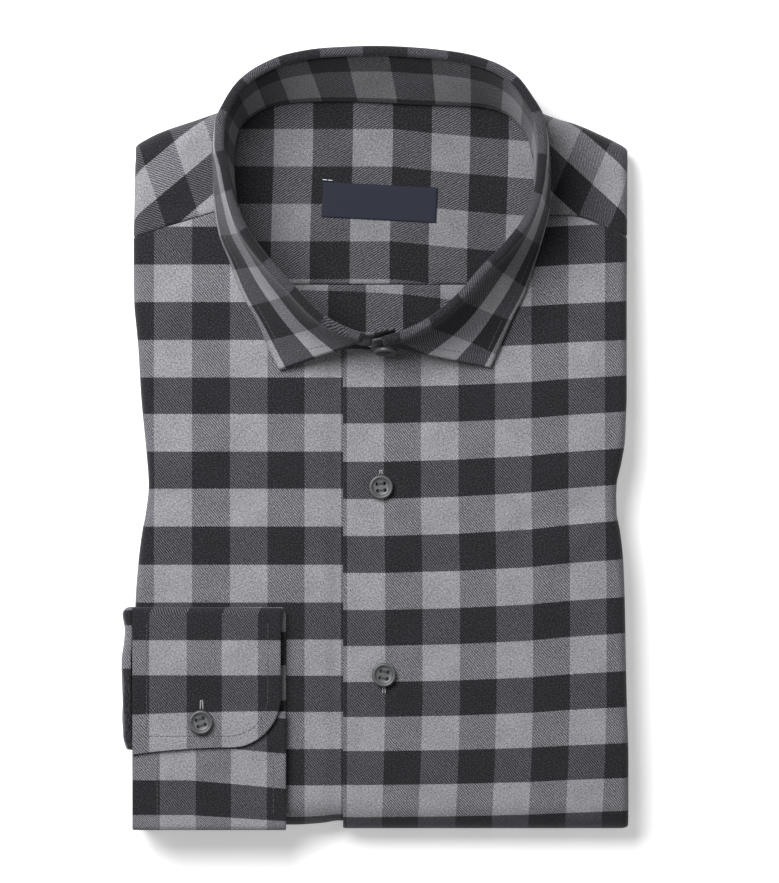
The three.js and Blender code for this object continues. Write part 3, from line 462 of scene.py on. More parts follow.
# Where the checks end, in photograph pixels.
def boundary_map(places, values, value):
    """Check number at a place, from measured boundaries, carried on past both ends."""
    order = np.argsort(places)
    p, q = np.asarray(places, float)[order], np.asarray(values, float)[order]
    out = np.interp(value, p, q)
    low = (q[1] - q[0]) / (p[1] - p[0])
    high = (q[-1] - q[-2]) / (p[-1] - p[-2])
    out = np.where(value < p[0], q[0] + (value - p[0]) * low, out)
    return np.where(value > p[-1], q[-1] + (value - p[-1]) * high, out)


RIGHT_ROWS_MIDDLE = [
    232, 271, 310, 349, 387, 423.4, 461.8, 499, 536, 573, 610, 646, 682, 717, 751, 785, 818,
]
RIGHT_ROWS_EDGE = [
    223, 262, 301, 340, 375.5, 411.5, 448, 484, 520, 559, 597, 633, 671, 707, 743, 778, 811,
]
RIGHT_COLUMNS = [347, 384, 421, 458.5, 495, 531.5, 568.5, 605]
LEFT_ROWS = [
    226.5, 264.5, 302, 340, 377.5, 414, 451.6, 488.7, 526.5, 564.8, 602.5, 639.6, 675.7, 712, 749,
    785.5, 819,
]
LEFT_COLUMNS = [154, 192, 230, 267.5, 304.5, 341]
# How far a check's edge leans sideways by row, and how far its row rises by column.
RIGHT_LEAN = ([300, 500, 580, 700, 760, 820], [0, 0, 1.5, 1.5, 0, -3])
RIGHT_RISE = ([380, 455, 530, 565, 627], [0, 0.14, 0.42, 0.68, 1])
PLACKET_PX, LEAN_REACH = 340, 60
# A corner of one check on each shoulder, and the steps to the next checks right and down.
LEFT_YOKE = ((174, 141.1), (28.9, -24.3), (11.2, 33.3))
RIGHT_YOKE = ((592.5, 183.8), (25, 23), (-13.8, 32.5))
INNER_COLUMNS = [235, 274, 313, 353, 393, 432, 470.5, 509]
INNER_ROWS = [128.5, 166, 203.5, 241, 279]
INNER_LEAN = ([130, 165, 220, 250], [0, 0.6, 2.6, 3.4])
INNER_FALL = ([393, 430, 470, 505, 535], [0, 3.8, 7.5, 10.5, 13])
BACK_COLUMNS = [290, 328, 366, 403, 440.5, 478]
BACK_ROWS = [252, 290, 330, 368]
BACK_FALL = ([300, 350, 403, 440, 460], [0, 1, 4, 8, 11])
SLEEVE_ROWS = [610, 625, 668, 760, 795]
CUFF_ROWS = [607, 640, 675, 711, 747]
CUFF_COLUMNS = [149.5, 187, 222, 258]
CUFF_UNDER_ROWS = [745, 780, 815]
CUFF_UNDER_COLUMNS = [160, 196, 231, 267]
CUFF_DRIFT = ([190, 231, 265, 285], [0, 0.1, 0.19, 0.24])
LABEL_STITCHES = [((322.5, 179.2), (327.3, 179.6)), ((328.2, 179.7), (332.6, 180.1))]


def front_over_checks(x, y):
    px, py = pixels(x, y)
    lean = np.interp(py, *RIGHT_LEAN) * np.clip((px - PLACKET_PX) / LEAN_REACH, 0, 1)
    u = boundary_map(RIGHT_COLUMNS, np.arange(-1, 7), px - lean)
    v_middle = boundary_map(RIGHT_ROWS_MIDDLE, 5.0 - np.arange(17), py)
    v_edge = boundary_map(RIGHT_ROWS_EDGE, 5.0 - np.arange(17), py)
    return np.stack([u, lerp(v_middle, v_edge, np.interp(px, *RIGHT_RISE))], axis=-1)


def front_under_checks(x, y):
    px, py = pixels(x, y)
    u = boundary_map(LEFT_COLUMNS, np.arange(-1, 5), px)
    v = boundary_map(LEFT_ROWS, 1.0 - np.arange(17), py)
    return np.stack([u, v], axis=-1)


def slanted(px, py, corner, step_right, step_down):
    """How many checks a place lies to the right of a corner and below it."""
    a, b = px - corner[0], py - corner[1]
    det = step_right[0] * step_down[1] - step_right[1] * step_down[0]
    right = (a * step_down[1] - b * step_down[0]) / det
    down = (step_right[0] * b - step_right[1] * a) / det
    return right, down


def yoke_checks(x, y):
    px, py = pixels(x, y)
    right, down = slanted(px, py, *LEFT_YOKE)
    left_u, left_v = right + 1, -down
    right, down = slanted(px, py, *RIGHT_YOKE)
    right_u, right_v = right + 1, 1 - down
    mix = smooth(-25, 25, x)
    return np.stack([lerp(left_u, right_u, mix), lerp(left_v, right_v, mix)], axis=-1)


# Creases, listed one by one.
def crease(x, y, start, end, width, height):
    """A soft ridge, or a trough where height is negative, along a line in millimetres."""
    ax, ay = start
    dx, dy = end[0] - ax, end[1] - ay
    long = hypot(dx, dy)
    along = ((x - ax) * dx + (y - ay) * dy) / long
    off = ((x - ax) * dy - (y - ay) * dx) / long
    ends = smooth(-0.15 * long, 0.25 * long, along) * (1 - smooth(0.75 * long, 1.15 * long, along))
    return height * ends * np.exp(-((off / width) ** 2))


def ripple(x, y, seed, size, amount):
    """Faint unevenness of cloth that has been pressed and folded."""
    r = np.random.default_rng(seed)
    out = np.zeros_like(x)
    for _ in range(14):
        angle = r.uniform(0, 2 * pi)
        wave = 2 * pi / (size * r.uniform(0.6, 1.8))
        out += np.sin(wave * (x * cos(angle) + y * sin(angle)) + r.uniform(0, 6.28))
    return amount * out / 3.7


OVER_CREASES = [
    ((112, -26), (62, -44), 6, -0.9), ((114, -14), (70, -18), 7, 0.7), ((110, -36), (78, -62), 5, 0.6),
    ((20, 26), (60, 8), 8, 0.7), ((34, 18), (84, -4), 7, -0.6), ((0, 30), (8, -12), 5, 0.6),
    ((2, -30), (2, -60), 3, -0.5), ((4, -118), (3, -140), 3, -0.45), ((96, 60), (100, -10), 9, 0.5),
    ((60, -120), (110, -150), 10, 0.5), ((30, -60), (90, -84), 12, 0.5), ((-12, 10), (-12, -170), 3, 0.35),
]
UNDER_CREASES = [
    ((-106, -24), (-66, -38), 6, -0.8), ((-108, -12), (-72, -8), 7, 0.6), ((-46, 20), (-84, 2), 8, 0.6),
    ((-22, 30), (-24, -160), 5, 0.35), ((-92, 70), (-84, 10), 9, 0.6), ((-60, 6), (-40, -40), 8, 0.4),
]


# The two fronts.
def nose_columns(side):
    rows = [(side, NOSE_DEPTH + 6, 1.0)]
    for step in range(13):
        angle = pi * step / 12
        rows.append((
            side, NOSE_DEPTH * (1 - sin(angle)), 1 - (1 - NOSE_LEVEL) * (1 - cos(angle)) / 2,
        ))
    rows.append((side, NOSE_DEPTH + LIP, NOSE_LEVEL))
    return rows


def column_x(column, y):
    if column[0] == 0:
        return column[1]
    return side_edge(y, column[0]) - column[0] * column[1]


def nose_run(column, y):
    """Place across the flat cloth, which runs on past the side edge."""
    side, inset, level = column
    if side == 0:
        return inset
    edge = side_edge(y, side)
    if level >= 0.999:
        return edge - side * inset
    turned = acos(max(-1.0, 1 - 2 * (1 - level) / (1 - NOSE_LEVEL)))
    lip = max(0.0, inset - NOSE_DEPTH)
    return edge - side * NOSE_DEPTH + side * (NOSE_ARC * turned + lip)


def corner_reach(level):
    """How far the side fold reaches out at the shoulder and tail folds, as a share of the height."""
    return float(np.interp(level, [NOSE_LEVEL, 0.7, 0.8, 1.0], [0.09, 0.25, 0.43, 0.5]))


def below_bottom(x, past, level, turn_y, at_side):
    radius = (level - 0.5) * HEIGHT
    reach = corner_reach(level) * HEIGHT if at_side else radius
    half = pi * HEIGHT / 2
    if past < half:
        angle = 2 * past / HEIGHT
        return x, turn_y - reach * sin(angle), HEIGHT / 2 + radius * cos(angle)
    return x, turn_y + past - half, HEIGHT / 2 - radius


def front_grid(columns, top_table, turn_y, level_of):
    """Rows from the hem under the stack, round the tail fold and up to the neck."""
    half = pi * HEIGHT / 2
    under = TAIL_HEM - BOTTOM_TURN

    def row_past(past, y):
        row = []
        for c in columns:
            x = column_x(c, y)
            place = below_bottom(x, past, level_of(c, x), turn_y, c[0] != 0)
            row.append((*place, nose_run(c, y), turn_y - past))
        return row

    grid = [row_past(half + s * under, BOTTOM_TURN + s * under) for s in np.linspace(1, 0.06, 14)]
    grid += [row_past(half * step / 14, turn_y) for step in range(14, -1, -1)]
    for share in np.concatenate([[0.03], np.linspace(0.08, 1, 24)]):
        row = []
        for c in columns:
            guess = column_x(c, SHOULDER_SEAM_Y)
            top = read(top_table, 1, guess) - GAP / 2
            y = lerp(turn_y, top, share)
            x = column_x(c, y)
            row.append((x, y, stack_height(y) * level_of(c, x), nose_run(c, y), y))
        grid.append(row)
    return np.array(grid, float)


def top_share(points):
    """1 on the upper face of the stack, fading to 0 round its edges."""
    z = points[..., 2]
    return smooth(0.86, 0.97, z / stack_height(points[..., 1]))


def calm(x, y):
    """Keeps the cloth flat where another piece lies on it."""
    cuff = (1 - smooth(-40, -34, x)) * (1 - smooth(-76, -70, y))
    collar = smooth(22, 34, y) * (1 - smooth(92, 100, np.abs(x - 3)))
    return (1 - cuff) * (1 - 0.85 * collar)


def puckers(x, y):
    """The cloth is drawn in round each front button and its buttonhole."""
    out = np.zeros_like(x)
    for bx, by in (BUTTON_ONE, BUTTON_TWO):
        far = np.hypot(x - bx, y - by)
        out += -0.5 * np.exp(-((far / 6.0) ** 2)) + 0.28 * np.exp(-(((far - 11) / 4) ** 2))
    return out


def front_piece(name, node, columns, table, turn_y, level_of, side, thick, checks, creases, seed):
    grid = refine(front_grid(columns, table, turn_y, level_of), 300, 132)
    points, run = grid[..., :3], grid[..., 3:]
    x, y = run[..., 0], run[..., 1]
    lift = ripple(x, y, seed, 46, 0.24) + ripple(x, y, seed + 50, 17, 0.05)
    for row in creases:
        lift = lift + crease(x, y, *row)
    lift = lift + puckers(x, y)
    lift *= calm(x, y) * top_share(points)
    points = points.copy()
    points[..., 2] += lift
    piece = cloth(name, points, checks(x, y), thick, side, CLOTH_OUT)
    return settle(piece, [node])


places = [(0, x, 1.0) for x in LEFT_FRONT_TOP[:-2, 0]]
front_over = front_piece(
    "cloth_front_over", "front_left", places + nose_columns(1), LEFT_FRONT_TOP, BOTTOM_TURN,
    lambda c, x: c[2], -1, TWO_LAYERS, front_over_checks, OVER_CREASES, 3,
)

xs = list(RIGHT_FRONT_TOP[1:, 0][::-1])
xs[1:2] = [PLACKET + 3, PLACKET - 2]
front_under = front_piece(
    "cloth_front_under", "front_right", [(0, x, 1.0) for x in xs] + nose_columns(-1), RIGHT_FRONT_TOP,
    BOTTOM_TURN + UNDER_RAISE,
    lambda c, x: c[2] - float(smooth(-32, PLACKET - 1, x)) * PLACKET_DIP / HEIGHT,
    1, ONE_LAYER, front_under_checks, UNDER_CREASES, 8,
)


# The outer yoke.
YOKE_COLUMNS = [
    (-97, 100.4, -97), (-85, 104, -87), (-75, 107, -80), (-67, 109.2, -75), (-67.4, 124, -71),
    (-66.8, 137.5, -67), (-59, 152.4, -59), (-36.4, 158.8, -36), (-18, 159.3, -17), (2, 158.8, 2),
    (20, 157.8, 20), (36, 157.3, 37), (61, 153.8, 61), (73.2, 140.5, 73), (76, 124, 77),
    (74.6, 109, 81), (82, 105.3, 86), (93.8, 104.8, 94),
]


def shoulder_turn(x):
    edge = float(read(SHOULDERS, 1, x))
    height = float(stack_height(edge))
    return edge - height / 2, height


def past_shoulder(x, past, level):
    turn_y, height = shoulder_turn(x)
    radius, reach = (level - 0.5) * height, corner_reach(level) * height
    half = pi * height / 2
    if past < half:
        angle = 2 * past / height
        return x, turn_y + reach * sin(angle), height / 2 + radius * cos(angle)
    return x, turn_y - past + half, height / 2 - radius


def yoke_grid():
    columns = nose_columns(-1)[::-1] + [("in", *row) for row in YOKE_COLUMNS] + nose_columns(1)
    grid = []
    for share in (0, 0.2, 0.4, 0.6, 0.8, 1):
        row = []
        for c in columns:
            if c[0] == "in":
                turn_y, _ = shoulder_turn(c[3])
                x, y = lerp(c[1], c[3], share), lerp(c[2] + GAP / 2, turn_y, share)
                row.append((x, y, float(stack_height(y)), x, y))
                continue
            seam_x = column_x(c, SHOULDER_SEAM_Y)
            table = RIGHT_FRONT_TOP if c[0] < 0 else LEFT_FRONT_TOP
            start = float(read(table, 1, seam_x)) - 0.3
            y = lerp(start, shoulder_turn(seam_x)[0], share)
            row.append((column_x(c, y), y, float(stack_height(y)) * c[2], nose_run(c, y), y))
        grid.append(row)

    def row_past(past_of):
        row = []
        for c in columns:
            if c[0] == "in":
                x, run, level = c[3], c[3], 1.0
            else:
                x, run = column_x(c, SHOULDER_FOLD_Y), nose_run(c, SHOULDER_FOLD_Y)
                level = c[2]
            turn_y, height = shoulder_turn(x)
            past = past_of(turn_y, height)
            row.append((*past_shoulder(x, past, level), run, turn_y + past))
        return row

    for step in range(1, 15):
        grid.append(row_past(lambda turn_y, height: pi * height / 2 * step / 14))
    for share in (0.5, 1):
        grid.append(row_past(lambda turn_y, height: pi * height / 2 + share * (turn_y - YOKE_HEM)))
    return np.array(grid, float)


grid = refine(yoke_grid(), 96, 230)
points, run = grid[..., :3].copy(), grid[..., 3:]
x, y = run[..., 0], run[..., 1]
lift = ripple(x, y, 21, 30, 0.2)
for row in (
    ((-80, 112), (-76, 150), 5, -0.6), ((-104, 104), (-92, 142), 7, 0.5),
    ((88, 110), (84, 148), 5, -0.6), ((110, 104), (98, 142), 7, 0.5),
):
    lift = lift + crease(x, y, *row)
away = smooth(80, 90, np.abs(x - 3))
points[..., 2] += lift * away * top_share(points) * smooth(0.04, 0.12, grid[..., 4] / 160 - 0.6)
yoke = cloth("cloth_yoke_outer", points, yoke_checks(x, y), ONE_LAYER, -1, CLOTH_OUT)
settle(yoke, ["yoke_outer"])


# The inner yoke, the back and the label, seen inside the neck.
def dish_height(x, y):
    floor = read(DISH_FLOOR, 1, y)
    rim = stack_height(y) - WALL - GAP - 0.2
    middle, half = (DISH_LEFT + DISH_RIGHT) / 2, (DISH_RIGHT - DISH_LEFT) / 2
    return lerp(floor, rim, smooth(0.62, 1, np.abs(x - middle) / half))


BACK_NECK = COLLAR[8:23, :2][np.argsort(COLLAR[8:23, 0])]


def dish_back(x):
    """Where the inner yoke ends, tucked in under the stand."""
    return read(BACK_NECK, 1, x) + YOKE_TUCK


def inner_yoke_checks(x, y):
    px, py = pixels(x, y)
    u = boundary_map(INNER_COLUMNS, np.arange(-2, 6), px + np.interp(py, *INNER_LEAN))
    v = boundary_map(INNER_ROWS, [2, 1, 0, -1, -2], py - np.interp(px, *INNER_FALL))
    return np.stack([u, v], axis=-1)


def back_checks(x, y):
    px, py = pixels(x, y)
    u = boundary_map(BACK_COLUMNS, np.arange(-1, 5), px)
    v = boundary_map(BACK_ROWS, [2, 1, 0, -1], py - np.interp(px, *BACK_FALL))
    return np.stack([u, v], axis=-1)


def dish_piece(name, node, start, end, rows, checks, seed):
    across = np.linspace(INNER_LEFT, INNER_RIGHT, 150)
    shares = np.linspace(0, 1, rows)[:, None]
    y = lerp(start(across)[None, :], end(across)[None, :], shares)
    x = np.broadcast_to(across, y.shape)
    flat_middle = (1 - smooth(44, 62, np.abs(x - 4))) * smooth(0, 8, y - y.min(axis=0))
    label_calm = smooth(12, 20, np.abs(y - 111.4)) + smooth(30, 38, np.abs(x - 2)) > 0.02
    z = dish_height(x, y) + ripple(x, y, seed, 24, 0.16) * flat_middle * np.where(label_calm, 1, 0.1)
    points = np.stack([x, y, z], axis=-1)
    piece = cloth(name, points, checks(x, y), ONE_LAYER, -1, CLOTH_IN_SHADED, face=-1.0)
    return settle(piece, [node])


yoke_in = dish_piece(
    "cloth_yoke_inner", "yoke_inner", lambda x: np.full_like(x, INNER_SEAM), dish_back, 90,
    inner_yoke_checks, 31,
)
back = dish_piece(
    "cloth_back", "back", lambda x: np.full_like(x, 26.0),
    lambda x: np.full_like(x, INNER_SEAM - GAP), 50, back_checks, 37,
)

LABEL_CENTRE = (1.9, 111.4)
u, v = np.meshgrid(np.linspace(-0.5, 0.5, 90), np.linspace(-0.5, 0.5, 30))
turn = radians(-3)
lx, ly = u * LABEL_WIDTH, v * LABEL_DEPTH
label_x = LABEL_CENTRE[0] + lx * cos(turn) - ly * sin(turn)
label_y = LABEL_CENTRE[1] + lx * sin(turn) + ly * cos(turn)
label_z = dish_height(label_x, label_y) + GAP + 0.35
points = np.stack([label_x, label_y, label_z], axis=-1)
label = cloth("label_plain", points, np.stack([u * 3, v], axis=-1), LABEL_LAYER, -1, LABEL_CLOTH)
settle(label, ["label"])


# The collar leaf and the stand.
def outward_of(rows):
    run = np.gradient(rows[:, 2:4], axis=0)
    out = np.stack([-run[:, 1], run[:, 0]], axis=-1)
    return out / np.linalg.norm(out, axis=1, keepdims=True)


# Where the checks end along the fold and along the hem, in photograph pixels.
FOLD_MARKS = [
    (360, 333), (322, 318), (296, 287), (270, 258), (247, 228), (227, 192), (222, 155), (228, 112),
    (247, 84), (281, 60), (320.5, 53), (363, 50), (406, 51), (447, 56), (486, 66), (514, 77),
    (537, 110), (544, 154), (538, 193), (513, 231), (488, 262), (460, 295), (431, 321),
]
HEM_MARKS_LEFT = [(279, 371), (272, 338), (251, 303), (233, 271), (221, 236)]
HEM_MARKS_RIGHT = [(541, 248), (526, 285), (508, 318), (490, 352)]
# Where its stripes end between the hem and the fold, as shares of that width.
LEFT_STRIPES, RIGHT_STRIPES = [0.08, 0.42, 0.63, 1.0], [0.06, 0.32, 0.57, 1.0]
BACK_MIDDLE_ROW = 16


def row_at(line, mark):
    """Where along a line of points a photo mark lies nearest, as a row number."""
    target = np.array(photo(*mark))
    best, where = 1e9, 0.0
    for i in range(len(line) - 1):
        d = line[i + 1] - line[i]
        t = float(np.clip(np.dot(target - line[i], d) / np.dot(d, d), 0, 1))
        far = float(np.linalg.norm(line[i] + t * d - target))
        if far < best:
            best, where = far, i + t
    return where


fold_rows = [row_at(COLLAR[:, 2:4], mark) for mark in FOLD_MARKS]
fold_values = np.arange(1, 24, dtype=float)
hem_rows = [row_at(COLLAR[:, 5:7], mark) for mark in HEM_MARKS_LEFT[1:]]
hem_rows += [row_at(COLLAR[:, 5:7], mark) for mark in HEM_MARKS_RIGHT]
hem_values = [2, 3, 4, 5, 20, 21, 22, 23]


def leaf_grid():
    out = outward_of(COLLAR)
    grid = []
    for i, row in enumerate(COLLAR):
        fold = np.array([row[2], row[3]])
        section = [(*fold, row[4] - ROLL_LIMB)]
        for step in range(11):
            angle = pi * step / 10
            reach = ROLL_RADIUS * (1 - cos(angle))
            place = fold + out[i] * reach
            section.append((*place, row[4] - ROLL_RADIUS * (1 - sin(angle))))
        start = np.array(section[-1])
        hem = row[5:8]
        drop = start[2] - hem[2]
        reach = np.array([hem[0] - start[0], hem[1] - start[1], 0.0])
        bend = np.array([0, 0, -0.9 * drop])
        landing = reach * 1.3 + np.array([0, 0, -0.7 * drop])
        for t in np.linspace(0, 1, 15)[1:]:
            t2, t3 = t * t, t ** 3
            section.append(tuple(
                start * (2 * t3 - 3 * t2 + 1) + bend * (t3 - 2 * t2 + t)
                + hem * (3 * t2 - 2 * t3) + landing * (t3 - t2)
            ))
        points = np.array(section)
        lengths = np.linalg.norm(np.diff(points, axis=0), axis=1)
        from_hem = np.concatenate([np.cumsum(lengths[::-1])[::-1], [0.0]])
        share = from_hem / from_hem[0]
        at_fold = float(boundary_map(fold_rows, fold_values, float(i)))
        at_hem = float(boundary_map(hem_rows, hem_values, float(i)))
        back = smooth(7, 11, i) * (1 - smooth(18, 22, i))
        flat_out = np.hypot(points[:, 0] - hem[0], points[:, 1] - hem[1])
        inward = flat_out / np.hypot(*(fold - hem[:2]))
        marks = LEFT_STRIPES if i < BACK_MIDDLE_ROW else RIGHT_STRIPES
        by_place = boundary_map(marks, [0, 1, 2, 2.95], inward)
        by_length = 2.9 - (from_hem[0] - ROLL_LIMB - from_hem) / CHECK
        stripe = lerp(by_place, by_length, smooth(6, 9, i) * (1 - smooth(21, 24, i)))
        at_hem = lerp(at_hem, at_fold, back)
        along = lerp(at_hem, at_fold, np.clip(share, 0, 1))
        grid.append(np.column_stack([points, along, stripe, from_hem]))
    return np.array(grid)


leaf = refine(leaf_grid(), 420, 60)
points = leaf[..., :3].copy()
n = normals_of(points)
from_fold = leaf[..., 5].max(axis=1, keepdims=True) - leaf[..., 5]
away = smooth(0, 10, leaf[..., 5]) * smooth(0, 6, from_fold - 6)
points += n * (ripple(leaf[..., 3] * CHECK, leaf[..., 5], 41, 34, 0.22) * away)[..., None]
collar = cloth("cloth_collar_leaf", points, leaf[..., 3:5], LEAF_LAYERS, 1, CLOTH_OUT)
settle(collar, ["collar_leaf"])
leaf_points, leaf_normals = points, normals_of(points)

STAND_MARKS = [
    (308, 60), (348, 60), (387, 60), (430, 62), (468, 68), (502, 80),
]


def stand_grid():
    rows = np.concatenate([STAND_UNDER, COLLAR[:, :5], STAND_OVER])
    out = outward_of(np.column_stack([rows, rows[:, 0]]))
    marks = [row_at(rows[:, 2:4], mark) for mark in STAND_MARKS]
    grid = []
    for i, row in enumerate(rows):
        run = np.array([row[2] - row[0], row[3] - row[1]])
        base = float(stack_height(row[1])) + GAP
        top = row[4] - ROLL_LIMB - GAP
        slope = hypot(float(np.linalg.norm(run)), top - base)
        lean = WALL * float(np.dot(run, out[i])) / slope
        low, high = base + max(lean, 0), top + min(lean, 0)
        low -= 2.2 * float(smooth(60, 76, row[1]))
        along = float(boundary_map(marks, np.arange(0, 6), float(i)))
        section = []
        for share in np.linspace(0, 1, 8):
            x, y = lerp(row[0], row[2], share), lerp(row[1], row[3], share)
            z = lerp(low, high, share)
            section.append((x, y, z, along - 0.22 * (1 - share), (share - 0.67) / 0.56))
        grid.append(section)
    return np.array(grid)


stand = refine(stand_grid(), 420, 30)
stand_piece = cloth(
    "cloth_collar_stand", stand[..., :3], stand[..., 3:5], TWO_LAYERS, 1, CLOTH_IN_SHADED, face=-1.0,
)
settle(stand_piece, ["collar_stand"])


# The end of the sleeve, and its cuff.
def sleeve_checks(x, y):
    py = MIDDLE_Y - y / PIXEL
    v = boundary_map(SLEEVE_ROWS, [1, 0, -1, -2, -3], py)
    return np.stack([0.55 + (x + 116) / CHECK, v], axis=-1)


grid = np.array([
    [(lerp(-111.2, row[1], out), row[0], z) for out, z in SLEEVE_SECTION] for row in SLEEVE_BULGE
])
points = refine(grid, 70, 40)
n = normals_of(points)
points = points + n * ripple(points[..., 1], points[..., 2] * 2, 51, 14, 0.12)[..., None]
sleeve_check = sleeve_checks(points[..., 0], points[..., 1])
sleeve = cloth("cloth_sleeve", points, sleeve_check, ONE_LAYER, 1, CLOTH_OUT)
settle(sleeve, ["sleeve"])


def cuff_right(y):
    into = max(0.0, CUFF_CORNER - (y - CUFF_TOP_END)) / CUFF_CORNER
    return CUFF_RIGHT_TOP - CUFF_CORNER * (1 - sqrt(max(0.0, 1 - into * into)))


def cuff_grid():
    top_r, low_r = (CUFF_TOP - CUFF_FLOOR) / 2, (CUFF_MIDDLE - CUFF_FLOOR) / 2
    spots = []
    near_corner = [0, 0.012, 0.03, 0.06, 0.1, 0.15, 0.21, 0.28, 0.36]
    for share in np.concatenate([near_corner, np.linspace(0.45, 1, 8)]):
        y = lerp(CUFF_TOP_END, CUFF_TOP_FOLD - top_r, share)
        py = MIDDLE_Y - y / PIXEL
        v = float(boundary_map(CUFF_ROWS, [0.93, 0, -1, -2, -3], py))
        spots.append((y, CUFF_TOP, cuff_right(y), v, 0.0))
    for step in range(1, 13):
        angle = pi * step / 12
        y = CUFF_TOP_FOLD - top_r + top_r * sin(angle)
        z = CUFF_FLOOR + top_r * (1 + cos(angle))
        right = lerp(CUFF_RIGHT_TOP, CUFF_RIGHT_UNDER, step / 12)
        spots.append((y, z, right, 0.73 + 0.5 * step / 12, step / 12))
    for step in range(0, 11):
        angle = pi * step / 10
        y = CUFF_BOTTOM_FOLD + low_r - low_r * sin(angle)
        z = CUFF_FLOOR + low_r * (1 - cos(angle))
        spots.append((y, z, CUFF_RIGHT_UNDER, 7.2 + 0.4 * step / 10, 1.0))
    for share in np.linspace(0.1, 1, 6):
        y = lerp(CUFF_BOTTOM_FOLD + low_r, CUFF_INNER_END, share)
        v = 8 + float(boundary_map(CUFF_UNDER_ROWS, [2, 1, 0], MIDDLE_Y - y / PIXEL))
        spots.append((y, CUFF_MIDDLE, CUFF_RIGHT_UNDER, v, 1.0))
    grid = []
    for y, z, right, v, under in spots:
        row = []
        for share in np.linspace(0, 1, 15):
            x = lerp(CUFF_LEFT, right, share)
            px = x / PIXEL + MIDDLE_X
            top_u = float(boundary_map(CUFF_COLUMNS, [-1, 0, 1, 2], px))
            low_u = float(boundary_map(CUFF_UNDER_COLUMNS, [-1, 0, 1, 2], px))
            drift = np.interp(px, *CUFF_DRIFT)
            sag = 3.4 * (1 - share) ** 2 * (1 - under) * float(1 - smooth(-145, -112, y))
            row.append((x, y - sag, z, lerp(top_u, low_u, under), v + drift * under))
        grid.append(row)
    return np.array(grid)


cuff_fine = refine(cuff_grid(), 250, 90)
points = cuff_fine[..., :3].copy()
outside = smooth(28, 30.5, points[..., 2])
points[..., 2] += ripple(points[..., 0], points[..., 1], 61, 26, 0.16) * outside
swell = np.exp(-(((points[..., 1] + 100) / 16) ** 2)) * smooth(-112, -90, points[..., 0])
points[..., 2] += 0.8 * outside * swell
cuff = cloth("cloth_cuff", points, cuff_fine[..., 3:5], TWO_LAYERS, -1, CLOTH_OUT)
settle(cuff, ["cuff"])
cuff_points, cuff_normals = points, -normals_of(points)


# The folded layers inside the stack.
def slab(xs_left, xs_right, low, high, ys, bow):
    """One folded layer: a flat pad with rounded side edges."""
    sections = []
    for xl, xr, zl, zh, y in zip(xs_left, xs_right, low, high, ys):
        half = (zh - zl) / 2
        mid = (zh + zl) / 2
        ring = []
        for start, middle in ((-pi / 2, xr - bow), (pi / 2, xl + bow)):
            for step in range(9):
                angle = start + pi * step / 8
                ring.append((middle + bow * cos(angle), y, mid + half * sin(angle)))
        sections.append(ring)
    return np.array(sections)


def layers_mesh():
    vertices, faces, check = [], [], []
    reach = [
        (0.045, 0.2, 1.4, 22.5, 106, 2.4), (0.21, 0.395, 1.2, 22.5, 106, 2.4),
        (0.435, 0.475, 3.5, -166, 138, 0.6), (0.483, 0.52, 4.0, -166, 138, 0.6),
        (0.528, 0.565, 3.6, -166, 138, 0.6),
    ]
    for k, (low, high, inset, y0, y1, bow) in enumerate(reach):
        ys = np.linspace(y0, y1, 60)
        r = np.random.default_rng(70 + k)
        wobble = 0.35 * np.sin(ys / 17 + r.uniform(0, 6)) + 0.2 * np.sin(ys / 6.1 + r.uniform(0, 6))
        left = side_edge(ys, -1) + inset + 0.4 + wobble
        right = side_edge(ys, 1) - inset - 0.4 - wobble
        for i, y in enumerate(ys):
            while read(SHOULDERS, 1, left[i]) - 4.5 < y and left[i] < -70:
                left[i] += 0.5
            while read(SHOULDERS, 1, right[i]) - 4.5 < y and right[i] > 74:
                right[i] -= 0.5
        height = stack_height(ys)
        ring = slab(left, right, low * height, high * height, ys, bow)
        faces += tube(ring, len(vertices))
        vertices += ring.reshape(-1, 3).tolist()
        check += [(p[0] / CHECK + 0.3 * k, p[1] / CHECK + 0.4 * k, 1.0) for p in ring.reshape(-1, 3)]
    return vertices, faces, check


vertices, faces, check = layers_mesh()
layers = add_object("cloth_folded_layers", vertices, faces, CLOTH_OUT, check)
settle(layers, ["folded_layers"])


